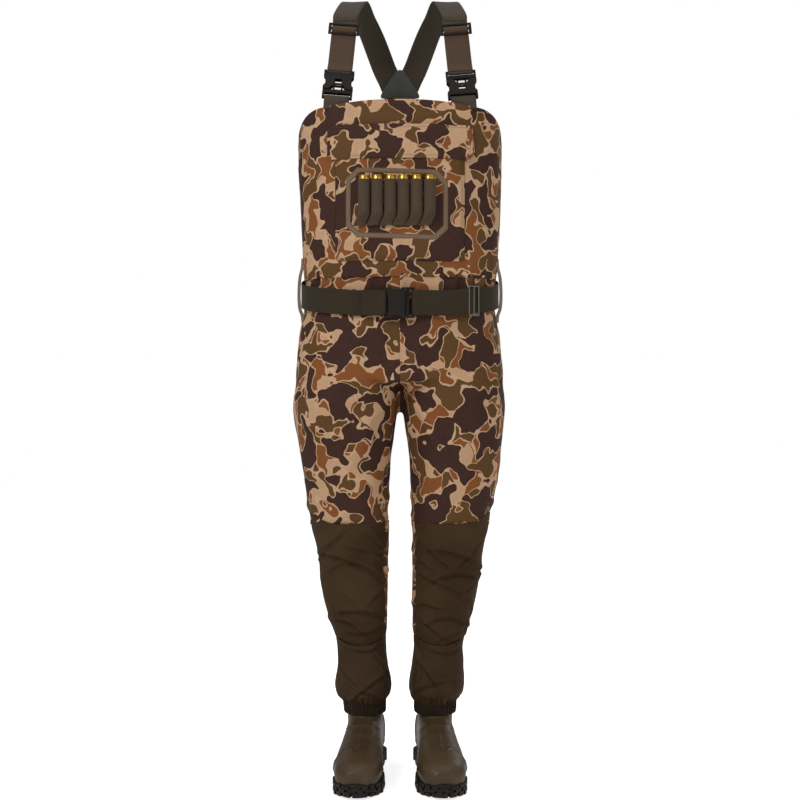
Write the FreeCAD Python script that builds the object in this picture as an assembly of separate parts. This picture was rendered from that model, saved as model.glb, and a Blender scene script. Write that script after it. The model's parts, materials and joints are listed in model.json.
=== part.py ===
"""Chest waders with moulded rubber boots, suspenders, wading belt and a pocket with shell loops.

Millimetres. +Z is up and -Y is the wearer's front, so +X is the wearer's left side. The origin is on the
ground under the middle of the waders. Every soft part is a plain closed solid at its real size.
"""

import FreeCAD
import Part

import math
import os

V = FreeCAD.Vector

# ---- driving dimensions -------------------------------------------------------------------------
CLOTH = 3.5                 # laminated fabric with its taped seams
OVAL_POINTS = 16
OVAL_SQUARENESS = 2.5       # 2 is an ellipse, more is squarer
LEG_SQUARENESS = 2.15
END_OVERRUN = 2             # how far a hollow's form runs past the form that it hollows out

# garment stations from the top down: height, half width, front y, back y
TORSO = [
    (1410, 203, -120, 112),
    (1345, 206, -125, 115),
    (1281, 208, -130, 118),
    (1220, 208, -132, 118),
    (1158, 206, -132, 115),
    (1096, 203, -130, 112),
    (1034, 199, -126, 110),
    (960, 194, -119, 110),
    (880, 206, -123, 130),
    (800, 213, -126, 138),
    (756, 165, -80, 95),
]
# leg stations: height, centre x, half width, front y, back y
LEG = [
    (855, 101, 97, -106, 116),
    (800, 104, 104.5, -117, 127),
    (755, 109, 108.5, -120, 126),
    (700, 112, 103, -113, 112),
    (650, 112, 94, -105, 100),
    (600, 111, 89, -98, 90),
    (538, 106, 83, -90, 80),
    (450, 98, 71.5, -77, 66),
    (383, 94, 67, -69, 68),
    (321, 88, 61, -63, 70),
    (256, 80.5, 55, -57, 63),
]
GAITER = [
    (266, 80.5, 46.5, -49.5, 54.5),
    (240, 78, 50, -55, 57),
    (184, 75.5, 55.5, -61, 61),
    (154, 75, 53, -58, 58),
    (141, 73, 44, -48, 52),
]
HEM = [
    (140.7, 73, 44, -48, 52),
    (135, 72.5, 41.5, -46, 51),
    (120, 72.3, 41.5, -46, 51.5),
]
BIB_FRONT_TOP = 1340
BIB_BACK_TOP = 1386
BIB_SIDE_TOP = 1250
BIB_CORNER_R = 55
BIB_TOP_HALF = 150
WAIST_SEAM_Z = 1004
KNEE_SEAM_Z = 505
GUARD_BOTTOM_Z = 256
GAITER_CLOTH = 2.5

HIP_Z = 765
HIP_FLEX, HIP_BACK = 40, 15           # degrees of forward and backward swing
HIP_FRONT_CUT, HIP_BACK_CUT = 20, 2   # degrees up from level, where the seat ends in front and behind
KNEE_Y, KNEE_Z = -4, 450
KNEE_FLEX = 50
KNEE_FRONT_CUT, KNEE_BACK_CUT = -8, 5 # degrees up from level, where the shin starts
HINGE_GAP = 3                         # spare degrees in each hinge's wedge

BOOT_X, BOOT_Y = 72, 2                # ankle centre
TOE_OUT = 3                           # degrees
SOLE_TOP = 27
BOOT_SHAFT_TOP = 236

WEB = 50                              # webbing width
WEB_T = 2.2                           # webbing thickness
BELT_SIDE_Z = 974
BELT_SLOPE = 0.216                    # rise of the belt from front to back, per mm of y

POCKET_HALF, POCKET_BOTTOM, POCKET_TOP = 128, 1029, 1296
FLAP_HALF, FLAP_BOTTOM, FLAP_TOP = 144, 1229, 1297
FRAME_X, FRAME_HALF, FRAME_BOTTOM, FRAME_TOP = -6, 100, 1072, 1209
FRAME_BAR, FRAME_CHAMFER = 9, 22
LOOP_COUNT, LOOP_PITCH = 6, 25.6
LOOP_BOTTOM, LOOP_TOP, LOOP_R = 1100, 1185, 12.3
SHELL_R, SHELL_RIM_R, SHELL_LENGTH, SHELL_TOP = 10.2, 11.1, 70, 1193

# straight front run of a suspender, from the bib tab to the adjuster (wearer's right, x < 0)
STRAP_FOOT = V(-128, -107, 1330)
STRAP_HEAD = V(-113, -60, 1500)
BUCKLE_T, GLIDE_T, STRAIGHT_T = 55, 180, 200    # distances along that run
YOKE_Y, YOKE_TOP_Z, YOKE_BOTTOM_Z, YOKE_HALF = 118, 1466, 1404, 41

# the shoulder's crown, then down the back; the last three lie in the yoke
SHOULDER_ROUTE = [
    (-92, -6, 1574),
    (-77, 38, 1557),
    (-59, 78, 1525),
    (-44, 106, 1492),
    (-33, YOKE_Y, 1466),
    (-22, YOKE_Y, 1443),
    (-9, YOKE_Y, 1412),
]
# share of the route, and the way that the strap's width points there
SHOULDER_TURN = [
    (0.0, V(1, 0, 0)),
    (0.18, V(1, 0, 0)),
    (0.42, V(0.93, -0.36, 0)),
    (0.66, V(0.93, -0.2, 0.3)),
    (0.8, V(0.92, 0, 0.4)),
    (1.0, V(0.92, 0, 0.4)),
]
TAB_HEIGHTS = [1284, 1312, 1341]      # where a bib tab follows the bib's inside
TAB_GAP = 1.2
YOKE_SKIN, STRAP_LAYER = 2.0, 1.3     # patch thickness; each strap's distance from the yoke's middle
YOKE_GAP = 0.8

POCKET_DEPTH, POCKET_SEAM, POCKET_CLOTH = 5.4, 7, 1.6
FLAP_IN, FLAP_OUT = 6.2, 8.4
LOOP_STAND = 2.4                      # how far a loop's tube stands off the pocket
LOOP_WALL, LOOP_FLOOR = 1.0, 2

# the ring that the belt lies round: half width, front and back, and its gap to the webbing
BELT_RING = (196, -121, 112)
BELT_IN = 4.5
BELT_JOIN_Y = -38                     # where the belt's free front run starts
BELT_BUCKLE_X = -8
ADJUSTER_X, ADJUSTER_HALF, ADJUSTER_TALL, ADJUSTER_WIRE = 146, 11, 29, 1.5
# keepers: height and distance from the middle of the waders
SIDE_KEEPER = [(1030, 199.9), (1014, 200.8), (999, 206.2), (971, 207.2), (944, 206.0), (931, 200.2), (920, 199.6)]
BACK_KEEPER = [(1058, 112.6), (1042, 113.4), (1027, 121.8), (999, 122.6), (972, 121.6), (959, 113.4), (949, 113.6)]
KEEPER_WIDTH, KEEPER_T, KEEPER_Y = 20, 1.6, -12

# buckle bars in the buckle's own axes, where webbing folds round them
PLUG_BAR, SOCKET_BAR, BUCKLE_MIDDLE = 34.8, -22.25, 6.5

BOOT_WALL, LINING_T = 3.2, 4.0
# boot shaft: height, half width, front, back
BOOT_SHAFT = [
    (240, 38.5, -44, 47),
    (205, 37.5, -43, 46),
    (170, 36, -41, 44),
    (135, 35.5, -42, 43),
    (105, 36, -45, 46),
    (60, 33, -40, 46),
]
# boot foot: y, half width, top height
BOOT_FOOT = [
    (72, 24, 92),
    (58, 34, 110),
    (20, 37, 118),
    (-30, 37, 116),
    (-80, 40.5, 98),
    (-140, 46, 80),
    (-185, 44.5, 70),
    (-215, 34.5, 60),
    (-229, 19, 50),
]
# half outline of the sole from heel to toe
SOLE_EDGE = [(36, 66), (39, 30), (36, -20), (40, -80), (48, -140), (46.5, -185), (31.5, -222), (8, -239)]
SOLE_HEEL_Y, LUG_HEIGHT, LUG_PITCH, LUG_LENGTH = 84, 8, 20, 13
ORIGIN_Y = 47.3                       # moves everything, so that the origin is under the overall box's centre

SIDES = {"right": -1, "left": 1}      # the wearer's sides, by the sign of x
SHAPES = {}                           # node name to shape


# ---- helpers ------------------------------------------------------------------------------------
def box(x0, x1, y0, y1, z0, z1):
    return Part.makeBox(x1 - x0, y1 - y0, z1 - z0, V(x0, y0, z0))


def oval(z, cx, half, front, back, squareness=OVAL_SQUARENESS):
    """A closed smooth ring at height z: a superellipse through OVAL_POINTS points."""
    cy, depth = (front + back) / 2, (back - front) / 2
    points = []
    for i in range(OVAL_POINTS):
        angle = 2 * math.pi * i / OVAL_POINTS
        c, s = math.cos(angle), math.sin(angle)
        x = math.copysign(abs(c) ** (2 / squareness), c)
        y = math.copysign(abs(s) ** (2 / squareness), s)
        points.append(V(cx + half * x, cy + depth * y, z))
    curve = Part.BSplineCurve()
    curve.interpolate(Points=points, PeriodicFlag=True)
    return Part.Wire(curve.toShape())


def loft(wires, ruled=False):
    """A closed solid through wires, turned the right way out."""
    solid = Part.makeLoft(wires, True, ruled)
    if solid.Volume < 0:
        solid.reverse()
    return solid


def tube_form(stations, sign=1, offset=0.0, squareness=LEG_SQUARENESS):
    """The outer form through stations, grown by offset all round. A shrunk form runs on past its open ends."""
    end_shift = {0: END_OVERRUN, len(stations) - 1: -END_OVERRUN} if offset < 0 else {}
    rings = []
    for i, (z, c, a, f, b) in enumerate(stations):
        rings.append(oval(z + end_shift.get(i, 0), sign * c, a + offset, f - offset, b + offset, squareness))
    return loft(rings)


def torso_form(offset=0.0):
    """The torso's outer form. Its lower end is the closed seat, so a shrunk form stops short of it."""
    stations = [(z, 0, a, f, b) for z, a, f, b in TORSO]
    if offset < 0:
        z, c, a, f, b = stations[-1]
        stations[-1] = (z - offset + END_OVERRUN, c, a, f, b)
    return tube_form(stations, 1, offset, OVAL_SQUARENESS)


def slab(z0, z1):
    return box(-400, 400, -400, 400, z0, z1)


def hinge_half(axis_y, axis_z, front_deg, back_deg, above):
    """Everything above (or below) two half planes that leave a hinge axis along X at these elevations."""
    reach, far = 400, 1200
    front = V(0, axis_y - reach, axis_z + reach * math.tan(math.radians(front_deg)))
    back = V(0, axis_y + reach, axis_z + reach * math.tan(math.radians(back_deg)))
    edge_z = axis_z + far if above else axis_z - far
    corners = [V(0, axis_y, axis_z), back, V(0, back.y, edge_z), V(0, front.y, edge_z), front]
    face = Part.Face(Part.makePolygon(corners + corners[:1]))
    face.translate(V(-400, 0, 0))
    return face.extrude(V(800, 0, 0))


def mirrored(shape):
    return shape.mirror(V(0, 0, 0), V(1, 0, 0))


def sided(shape, sign):
    """A shape modelled on the x < 0 side, moved to the side given by sign."""
    return shape if sign < 0 else mirrored(shape)


def ribbon(sections, width, thickness):
    """A flat strap through sections of (centre, width direction, normal)."""
    wires = []
    for centre, across, normal in sections:
        a = V(across).normalize() * (width / 2)
        n = V(normal).normalize() * (thickness / 2)
        corners = [centre + a + n, centre - a + n, centre - a - n, centre + a - n]
        wires.append(Part.makePolygon(corners + corners[:1]))
    return loft(wires, ruled=True)


def placed(shape, origin, u, v, w):
    """A shape drawn in local axes (x is u, y is v, z is w), put at origin."""
    matrix = FreeCAD.Matrix(u.x, v.x, w.x, origin.x, u.y, v.y, w.y, origin.y, u.z, v.z, w.z, origin.z, 0, 0, 0, 1)
    moved = shape.copy()
    moved.transformShape(matrix, True)
    return moved


def add(name, shape):
    solids = shape.Solids
    SHAPES[name] = solids[0] if len(solids) == 1 else Part.makeCompound(solids)


# ---- torso and trousers -------------------------------------------------------------------------
def bib_outline(top, half, corner):
    """A prism along Y that keeps what is under the bib's top edge: a flat top with round corners."""
    low, side = WAIST_SEAM_Z - 10, BIB_SIDE_TOP
    slope_x = half + corner
    points = [V(-260, 0, low), V(260, 0, low), V(260, 0, side), V(slope_x, 0, side)]
    face_edges = [Part.makePolygon(points)]
    knee_right = V(half + corner * 0.75, 0, top - corner * 0.35)
    face_edges.append(Part.Arc(points[3], knee_right, V(half, 0, top)).toShape())
    face_edges.append(Part.makeLine(V(half, 0, top), V(-half, 0, top)))
    knee_left = V(-knee_right.x, 0, knee_right.z)
    face_edges.append(Part.Arc(V(-half, 0, top), knee_left, V(-slope_x, 0, side)).toShape())
    face_edges.append(Part.makePolygon([V(-slope_x, 0, side), V(-260, 0, side), V(-260, 0, low)]))
    edges = [e for s in face_edges for e in s.Edges]
    face = Part.Face(Part.Wire(Part.__sortEdges__(edges)))
    face.translate(V(0, -300, 0))
    return face.extrude(V(0, 600, 0))


def make_bib():
    shell = torso_form().cut(torso_form(-CLOTH))
    front = shell.common(box(-300, 300, -300, 0, WAIST_SEAM_Z, 1500))
    back = shell.common(box(-300, 300, 0, 300, WAIST_SEAM_Z, 1500))
    add("bib_front", front.common(bib_outline(BIB_FRONT_TOP, BIB_TOP_HALF, BIB_CORNER_R)))
    add("bib_back", back.common(bib_outline(BIB_BACK_TOP, 60, 142)))


def make_trousers():
    """The seat in two halves that meet at the centre seam, then each leg down to the gaiter."""
    leg_outer, leg_inner = tube_form(LEG, -1), tube_form(LEG, -1, -CLOTH)
    torso_outer, torso_inner = torso_form(), torso_form(-CLOTH)
    half_space = box(-400, 0, -400, 400, 0, 1500)
    body = torso_outer.fuse(leg_outer).common(half_space)
    hollow = torso_inner.fuse(leg_inner).common(half_space)
    shell = body.cut(hollow)
    hip_top = hinge_half(0, HIP_Z, HIP_FRONT_CUT, HIP_BACK_CUT, True)
    front_low, back_low = HIP_FRONT_CUT - HIP_FLEX - HINGE_GAP, HIP_BACK_CUT - HIP_BACK - HINGE_GAP
    hip_bottom = hinge_half(0, HIP_Z, front_low, back_low, False)
    hip_middle = slab(600, WAIST_SEAM_Z).cut(hip_top).cut(hip_bottom)
    knee_bottom = hinge_half(KNEE_Y, KNEE_Z, KNEE_FRONT_CUT, KNEE_BACK_CUT - KNEE_FLEX - HINGE_GAP, False)
    leg_shell = leg_outer.cut(leg_inner)
    apart = box(-400, -0.5, -400, 400, 0, 1500)
    pieces = {
        "seat": shell.common(slab(600, WAIST_SEAM_Z)).common(hip_top),
        "hip_gusset": shell.common(hip_middle),
        "thigh_panel": leg_shell.common(hip_bottom).common(slab(KNEE_SEAM_Z, 800)).common(apart),
        "knee_guard": leg_shell.common(slab(300, KNEE_SEAM_Z)).cut(knee_bottom),
        "shin_guard": leg_shell.common(knee_bottom).common(slab(GUARD_BOTTOM_Z, KNEE_SEAM_Z)),
        "gaiter": tube_form(GAITER, -1).cut(tube_form(GAITER, -1, -GAITER_CLOTH)),
        "elastic_hem": tube_form(HEM, -1).cut(tube_form(HEM, -1, -GAITER_CLOTH)),
    }
    for name, shape in pieces.items():
        for side, sign in SIDES.items():
            add(f"{name}_{side}", sided(shape, sign))


# ---- chest pocket, flap and shell loops -----------------------------------------------------------
def front_skin(inner, outer):
    """The layer of the bib's front between two offsets."""
    region = box(-180, 180, -300, -60, 1010, 1320)
    return torso_form(outer).common(region).cut(torso_form(inner).common(region))


def octagon(half, z0, z1, chamfer):
    """A prism along Y with cut corners, centred on FRAME_X."""
    outline = [
        (-half + chamfer, z0),
        (half - chamfer, z0),
        (half, z0 + chamfer),
        (half, z1 - chamfer),
        (half - chamfer, z1),
        (-half + chamfer, z1),
        (-half, z1 - chamfer),
        (-half, z0 + chamfer),
    ]
    points = [V(FRAME_X + x, -300, z) for x, z in outline]
    return Part.Face(Part.makePolygon(points + points[:1])).extrude(V(0, 240, 0))


def oval_front(x, half, front, back, squareness=OVAL_SQUARENESS):
    """The front y of an oval at x."""
    reach = (1 - (abs(x) / half) ** squareness) ** (1 / squareness)
    return (front + back) / 2 - (back - front) / 2 * reach


def bib_y(x, z, offset=0.0):
    """The y of the bib's front at x and z, grown by offset."""
    for (z1, a1, f1, b1), (z0, a0, f0, b0) in zip(TORSO, TORSO[1:]):
        if z0 <= z <= z1:
            t = (z - z0) / (z1 - z0)
            half, front, back = (low + (high - low) * t for low, high in ((a0, a1), (f0, f1), (b0, b1)))
    return oval_front(x, half + offset, front - offset, back + offset)


def make_pocket():
    cover = front_skin(0.5, POCKET_DEPTH).common(box(-POCKET_HALF, POCKET_HALF, -300, 0, POCKET_BOTTOM, POCKET_TOP))
    room = front_skin(0.2, POCKET_DEPTH - POCKET_CLOTH)
    room_half, room_bottom = POCKET_HALF - POCKET_SEAM, POCKET_BOTTOM + POCKET_SEAM
    add("chest_pocket", cover.cut(room.common(box(-room_half, room_half, -300, 0, room_bottom, POCKET_TOP + 5))))
    flap = front_skin(FLAP_IN, FLAP_OUT)
    add("pocket_flap", flap.common(box(-FLAP_HALF, FLAP_HALF, -300, 0, FLAP_BOTTOM, FLAP_TOP)))
    ring = octagon(FRAME_HALF, FRAME_BOTTOM, FRAME_TOP, FRAME_CHAMFER)
    inner_half, inner_chamfer = FRAME_HALF - FRAME_BAR, FRAME_CHAMFER - FRAME_BAR * 0.4
    ring = ring.cut(octagon(inner_half, FRAME_BOTTOM + FRAME_BAR, FRAME_TOP - FRAME_BAR, inner_chamfer))
    add("loop_frame", front_skin(POCKET_DEPTH + 0.3, POCKET_DEPTH + 1.6).common(ring))


def make_shell_loops():
    """Elastic tubes, each sewn on by a web and holding one shell that slides out upwards, brass end first."""
    loops = []
    for i in range(LOOP_COUNT):
        x = FRAME_X + (i - (LOOP_COUNT - 1) / 2) * LOOP_PITCH
        face = min(bib_y(px, z, POCKET_DEPTH) for px in (x - 5, x + 5) for z in (LOOP_BOTTOM, LOOP_TOP))
        y = face - LOOP_STAND - LOOP_R
        tube = Part.makeCylinder(LOOP_R, LOOP_TOP - LOOP_BOTTOM, V(x, y, LOOP_BOTTOM))
        web = box(x - 3, x + 3, y, face - 0.5, LOOP_BOTTOM, LOOP_TOP - 6)
        hollow = Part.makeCylinder(LOOP_R - LOOP_WALL, LOOP_TOP, V(x, y, LOOP_BOTTOM + LOOP_FLOOR))
        loops.append(tube.fuse(web).cut(hollow))
        hull = Part.makeCylinder(SHELL_R, SHELL_LENGTH, V(x, y, SHELL_TOP - SHELL_LENGTH))
        rim = Part.makeCylinder(SHELL_RIM_R, 1.6, V(x, y, SHELL_TOP - 1.6))
        add(f"shotshell_{i + 1}", hull.fuse(rim).removeSplitter())
    add("shell_loops", Part.makeCompound(loops))


# ---- side-release buckles ------------------------------------------------------------------------
def prism(outline, z0, z1):
    points = [V(x, y, z0) for x, y in outline]
    return Part.Face(Part.makePolygon(points + points[:1])).extrude(V(0, 0, z1 - z0))


def rounded(shape, radius):
    """A block with its long edges rounded, leaving the short upright ones sharp."""
    return shape.makeFillet(radius, [e for e in shape.Edges if abs(e.tangentAt(e.FirstParameter).z) < 0.5])


def buckle_socket(windowed):
    """The socket half in local axes: the plug leaves towards +x, y is across and z is out of the face."""
    body = rounded(box(-24, 18, -30, 30, -6.5, 6.5), 2.2)
    body = body.cut(box(-11, 40, -26.6, 26.6, -3.8, 3.8))
    for side in (-1, 1):
        window = box(-9, 10, 21, 40, -3.8, 3.8)
        body = body.cut(window if side > 0 else window.mirror(V(0, 0, 0), V(0, 1, 0)))
        body = body.cut(Part.makeCylinder(13, 20, V(1, side * 37.5, -10)))
    body = body.cut(box(-20.5, -15.5, -26, 26, -10, 10))
    body = body.cut(box(-30, -20, -26, 26, 2.0, 10)).cut(box(-30, -20, -26, 26, -10, -2.0))
    if windowed:
        body = body.cut(box(-4, 5, -7, 7, -10, 10))
        body = body.cut(prism([(9, -9), (9, 9), (17.9, 19), (17.9, -19)], -10, 10))
    return body


def buckle_plug():
    """The plug's base, its webbing bar and its two guide rails."""
    base = rounded(box(18.6, 37, -30, 30, -5, 5), 2)
    base = base.cut(box(26.5, 32.6, -26, 26, -10, 10))
    base = base.cut(box(32.5, 40, -26, 26, 2.0, 10)).cut(box(32.5, 40, -26, 26, -10, -2.0))
    rails = [box(-3, 19, side * 8 - 1.5, side * 8 + 1.5, -2.4, 2.4) for side in (-1, 1)]
    return base.fuse(rails)


def buckle_arm(side):
    """One springy arm of the plug, on the side given by the sign of y."""
    outline = [(18, 13.5), (18, 19.5), (9, 23), (5, 26.2), (-5, 26), (-7.5, 22.5), (-7.5, 19), (2, 18.5)]
    return prism([(x, side * y) for x, y in outline], -3.2, 3.2)


def webbing_fold(bar_x):
    """Webbing folded round a buckle's bar at local x."""
    fold = box(bar_x - 4.6, bar_x + 4.6, -WEB / 2, WEB / 2, -2.2 - WEB_T, 2.2 + WEB_T)
    return fold.cut(box(bar_x - 2.4, bar_x + 2.4, -WEB / 2, WEB / 2, -2.2, 2.2))


# ---- suspenders ----------------------------------------------------------------------------------
def strap_axes():
    """Unit vectors of a suspender's straight run: up along it, across it, and out of its face."""
    along = (STRAP_HEAD - STRAP_FOOT).normalize()
    across = (V(1, 0, 0) - along * along.x).normalize()
    normal = across.cross(along)
    return along, across, (normal if normal.y < 0 else normal * -1)


def strap_point(t, out=0.0):
    along, _, normal = strap_axes()
    return STRAP_FOOT + along * t + normal * out


def make_bib_tab(low_t, fold):
    """The tab that starts inside the bib and ends in the fold round the lower buckle half."""
    _, across, normal = strap_axes()
    sections = []
    for z in TAB_HEIGHTS:
        left, right = STRAP_FOOT.x - WEB / 2, STRAP_FOOT.x + WEB / 2
        a, b = V(left, bib_y(left, z, -CLOTH), z), V(right, bib_y(right, z, -CLOTH), z)
        inward = V(0, 0, 1).cross(b - a).normalize()
        if inward.y < 0:
            inward = inward * -1
        sections.append(((a + b) * 0.5 + inward * (WEB_T / 2 + TAB_GAP), b - a, inward))
    for t in (low_t - 8, low_t - 4.4):
        sections.append((strap_point(t, -2.2 - WEB_T / 2), across, normal * -1))
    return ribbon(sections, WEB, WEB_T).fuse(fold)


def make_suspender(side, sign):
    """Buckle, adjuster and webbing of one suspender. The plug is below on the wearer's right."""
    along, _, normal = strap_axes()
    plug_below = side == "right"
    u = along * (-1 if plug_below else 1)
    origin = strap_point(BUCKLE_T) - u * BUCKLE_MIDDLE

    def local(shape):
        return sided(placed(shape, origin, u, normal.cross(u), normal), sign)

    def run(t0, t1, low, high, half=WEB / 2):
        flat = box(t0, t1, -half, half, low, high)
        return sided(placed(flat, STRAP_FOOT, along, normal.cross(along), normal), sign)

    add(f"suspender_socket_{side}", local(buckle_socket(True)))
    add(f"suspender_plug_{side}", local(buckle_plug()))
    inner_sign = 1 if plug_below else -1
    add(f"suspender_arm_inner_{side}", local(buckle_arm(inner_sign)))
    add(f"suspender_arm_outer_{side}", local(buckle_arm(-inner_sign)))
    low_bar, high_bar = (PLUG_BAR, SOCKET_BAR) if plug_below else (SOCKET_BAR, PLUG_BAR)
    way = -1 if plug_below else 1
    low_t = BUCKLE_T + way * (low_bar - BUCKLE_MIDDLE)
    high_t = BUCKLE_T + way * (high_bar - BUCKLE_MIDDLE)
    tab = make_bib_tab(low_t, placed(webbing_fold(low_bar), origin, u, normal.cross(u), normal))

    rear = run(high_t + 4.4, STRAIGHT_T, -3.4 - WEB_T, -3.4)
    front = run(high_t + 4.4, GLIDE_T - 4.6, -0.9 - WEB_T, -0.9)
    link = run(high_t + 4.2, high_t + 5.4, -3.4 - WEB_T, 2.2 + WEB_T)
    bar_hole = run(GLIDE_T - 2.6, GLIDE_T + 2.6, 0.0, 2.6, 40)
    over_bar = run(GLIDE_T - 4.8, GLIDE_T + 4.8, -0.9 - WEB_T, 5.0).cut(bar_hole)
    add(f"front_webbing_{side}", rear.fuse([front, local(webbing_fold(high_bar)), link, over_bar]).removeSplitter())

    glide = run(GLIDE_T - 12, GLIDE_T + 12, -0.5, 3.0, 31.5)
    for low, high in ((-8.6, -2.4), (2.4, 8.6)):
        glide = glide.cut(run(GLIDE_T + low, GLIDE_T + high, -5, 8, 26))
    thin = run(GLIDE_T - 2.4, GLIDE_T + 2.4, -5, 0.2, 26).fuse(run(GLIDE_T - 2.4, GLIDE_T + 2.4, 2.4, 8, 26))
    add(f"suspender_adjuster_{side}", glide.cut(thin))
    return sided(tab, sign)


def shoulder_turn(share):
    for (s0, w0), (s1, w1) in zip(SHOULDER_TURN, SHOULDER_TURN[1:]):
        if share <= s1:
            return w0 + (w1 - w0) * ((share - s0) / (s1 - s0))
    return SHOULDER_TURN[-1][1]


def make_shoulder_strap(side, sign):
    """From the straight run over the shoulder and down the back to the yoke."""
    along = strap_axes()[0]
    layer = STRAP_LAYER if side == "right" else -STRAP_LAYER
    below = -3.4 - WEB_T / 2
    route = [strap_point(STRAIGHT_T, below), strap_point(STRAIGHT_T + 18, below)]
    for x, y, z in SHOULDER_ROUTE:
        route.append(V(x, y + layer if y == YOKE_Y else y, z))
    curve = Part.BSplineCurve()
    curve.interpolate(Points=route, InitialTangent=along, FinalTangent=(route[-1] - route[-2]).normalize())
    count = 30
    sections = []
    for i in range(count + 1):
        at = curve.FirstParameter + (curve.LastParameter - curve.FirstParameter) * i / count
        tangent = V(curve.tangent(at)[0])
        turn = shoulder_turn(i / count)
        width_way = turn - tangent * tangent.dot(turn)
        sections.append((V(curve.value(at)), width_way, tangent.cross(width_way)))
    add(f"shoulder_strap_{side}", sided(ribbon(sections, WEB, WEB_T), sign))


def make_yoke():
    """The rubber patch that joins the straps at the back, in two layers, and its tab on the back panel."""
    top, low, half = YOKE_TOP_Z, YOKE_BOTTOM_Z, YOKE_HALF
    right_edge = [(half, low), (half + 1, low + 8), (9, top - 4)]
    outline = [(-half, low)] + right_edge + [(0, top), (-9, top - 4), (-half - 1, low + 8)]
    depth = STRAP_LAYER + WEB_T / 2 + YOKE_GAP
    layers = []
    for y in (YOKE_Y - depth - YOKE_SKIN, YOKE_Y + depth):
        points = [V(x, y, z) for x, z in outline]
        layers.append(Part.Face(Part.makePolygon(points + points[:1])).extrude(V(0, YOKE_SKIN, 0)))
    add("yoke_patch", Part.makeCompound(layers))
    add("back_tab", box(-WEB / 2, WEB / 2, YOKE_Y - WEB_T, YOKE_Y, 1330, low - 0.4))


# ---- belt ----------------------------------------------------------------------------------------
def belt_height(y):
    return BELT_SIDE_Z + BELT_SLOPE * y


def belt_ring():
    """The belt's ring: upright faces, between two planes that drop towards the front."""
    half, front, back = BELT_RING
    rings = []
    for offset in (BELT_IN + WEB_T, BELT_IN):
        wire = oval(800, 0, half + offset, front - offset, back + offset)
        rings.append(Part.Face(wire).extrude(V(0, 0, 400)))
    edges = [(-300, -WEB / 2), (300, -WEB / 2), (300, WEB / 2), (-300, WEB / 2)]
    points = [V(-300, y, belt_height(y) + dz) for y, dz in edges]
    return rings[0].cut(rings[1]).common(Part.Face(Part.makePolygon(points + points[:1])).extrude(V(600, 0, 0)))


def make_belt():
    ring = belt_ring()
    y = BELT_RING[1] - BELT_IN - 2.4
    origin = V(BELT_BUCKLE_X, y - 2.2, belt_height(y))

    def local(shape):
        return placed(shape, origin, V(1, 0, 0), V(0, 0, 1), V(0, -1, 0))

    left_end, right_end = origin.x + SOCKET_BAR - 4.0, origin.x + PLUG_BAR + 4.0
    gap = box(left_end, right_end, -300, 0, 800, 1200)
    front_run = box(0, 300, -300, BELT_JOIN_Y, 800, 1200)
    add("belt_webbing", ring.cut(gap).cut(front_run).fuse(local(webbing_fold(SOCKET_BAR))))
    add("belt_front_run", ring.cut(gap).common(front_run).fuse(local(webbing_fold(PLUG_BAR))))
    add("belt_socket", local(buckle_socket(False)))
    add("belt_plug", local(buckle_plug()))
    add("belt_arm_upper", local(buckle_arm(1)))
    add("belt_arm_lower", local(buckle_arm(-1)))


def make_belt_adjuster():
    """A wire tri-glide on the front run of the belt."""
    half, front, back = BELT_RING
    grown = BELT_IN + WEB_T
    before, after = (oval_front(ADJUSTER_X + dx, half + grown, front - grown, back + grown) for dx in (-12, 12))
    turn = math.atan2(after - before, 24)
    middle = oval_front(ADJUSTER_X, half + grown, front - grown, back + grown)
    out = ADJUSTER_WIRE + 0.4
    centre = V(ADJUSTER_X + out * math.sin(turn), middle - out * math.cos(turn), belt_height(middle))
    corners = []
    for sx, sz in ((-1, -1), (1, -1), (1, 1), (-1, 1)):
        corners.append(V(sx * ADJUSTER_HALF, 0, sz * ADJUSTER_TALL))
    rods = [Part.makeCylinder(ADJUSTER_WIRE, 2 * ADJUSTER_TALL, V(0, 0, -ADJUSTER_TALL), V(0, 0, 1))]
    for a, b in zip(corners, corners[1:] + corners[:1]):
        rods.append(Part.makeCylinder(ADJUSTER_WIRE, (b - a).Length, a, b - a))
        rods.append(Part.makeSphere(ADJUSTER_WIRE, a))
    frame = rods[0].fuse(rods[1:])
    frame.rotate(V(0, 0, 0), V(0, 0, 1), math.degrees(turn))
    frame.translate(centre)
    add("belt_adjuster", frame)


def keeper(centres, across):
    """A narrow webbing strap sewn on at both ends, bowed out over the belt."""
    sections = []
    for i, centre in enumerate(centres):
        before, after = centres[max(i - 1, 0)], centres[min(i + 1, len(centres) - 1)]
        sections.append((centre, across, (after - before).cross(across)))
    return ribbon(sections, KEEPER_WIDTH, KEEPER_T)


def make_belt_loops():
    side = keeper([V(-x, KEEPER_Y, z) for z, x in SIDE_KEEPER], V(0, 1, 0))
    back = keeper([V(0, y, z) for z, y in BACK_KEEPER], V(1, 0, 0))
    add("belt_loops", Part.makeCompound([side, mirrored(side), back]))


# ---- boots ---------------------------------------------------------------------------------------
def boot_axes_placed(shape):
    """From the boot's own axes (toe towards -y, ankle at the origin) to the wearer's right foot."""
    moved = shape.copy()
    moved.rotate(V(0, 0, 0), V(0, 0, 1), -TOE_OUT)
    moved.translate(V(-BOOT_X, BOOT_Y, 0))
    return moved


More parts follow.
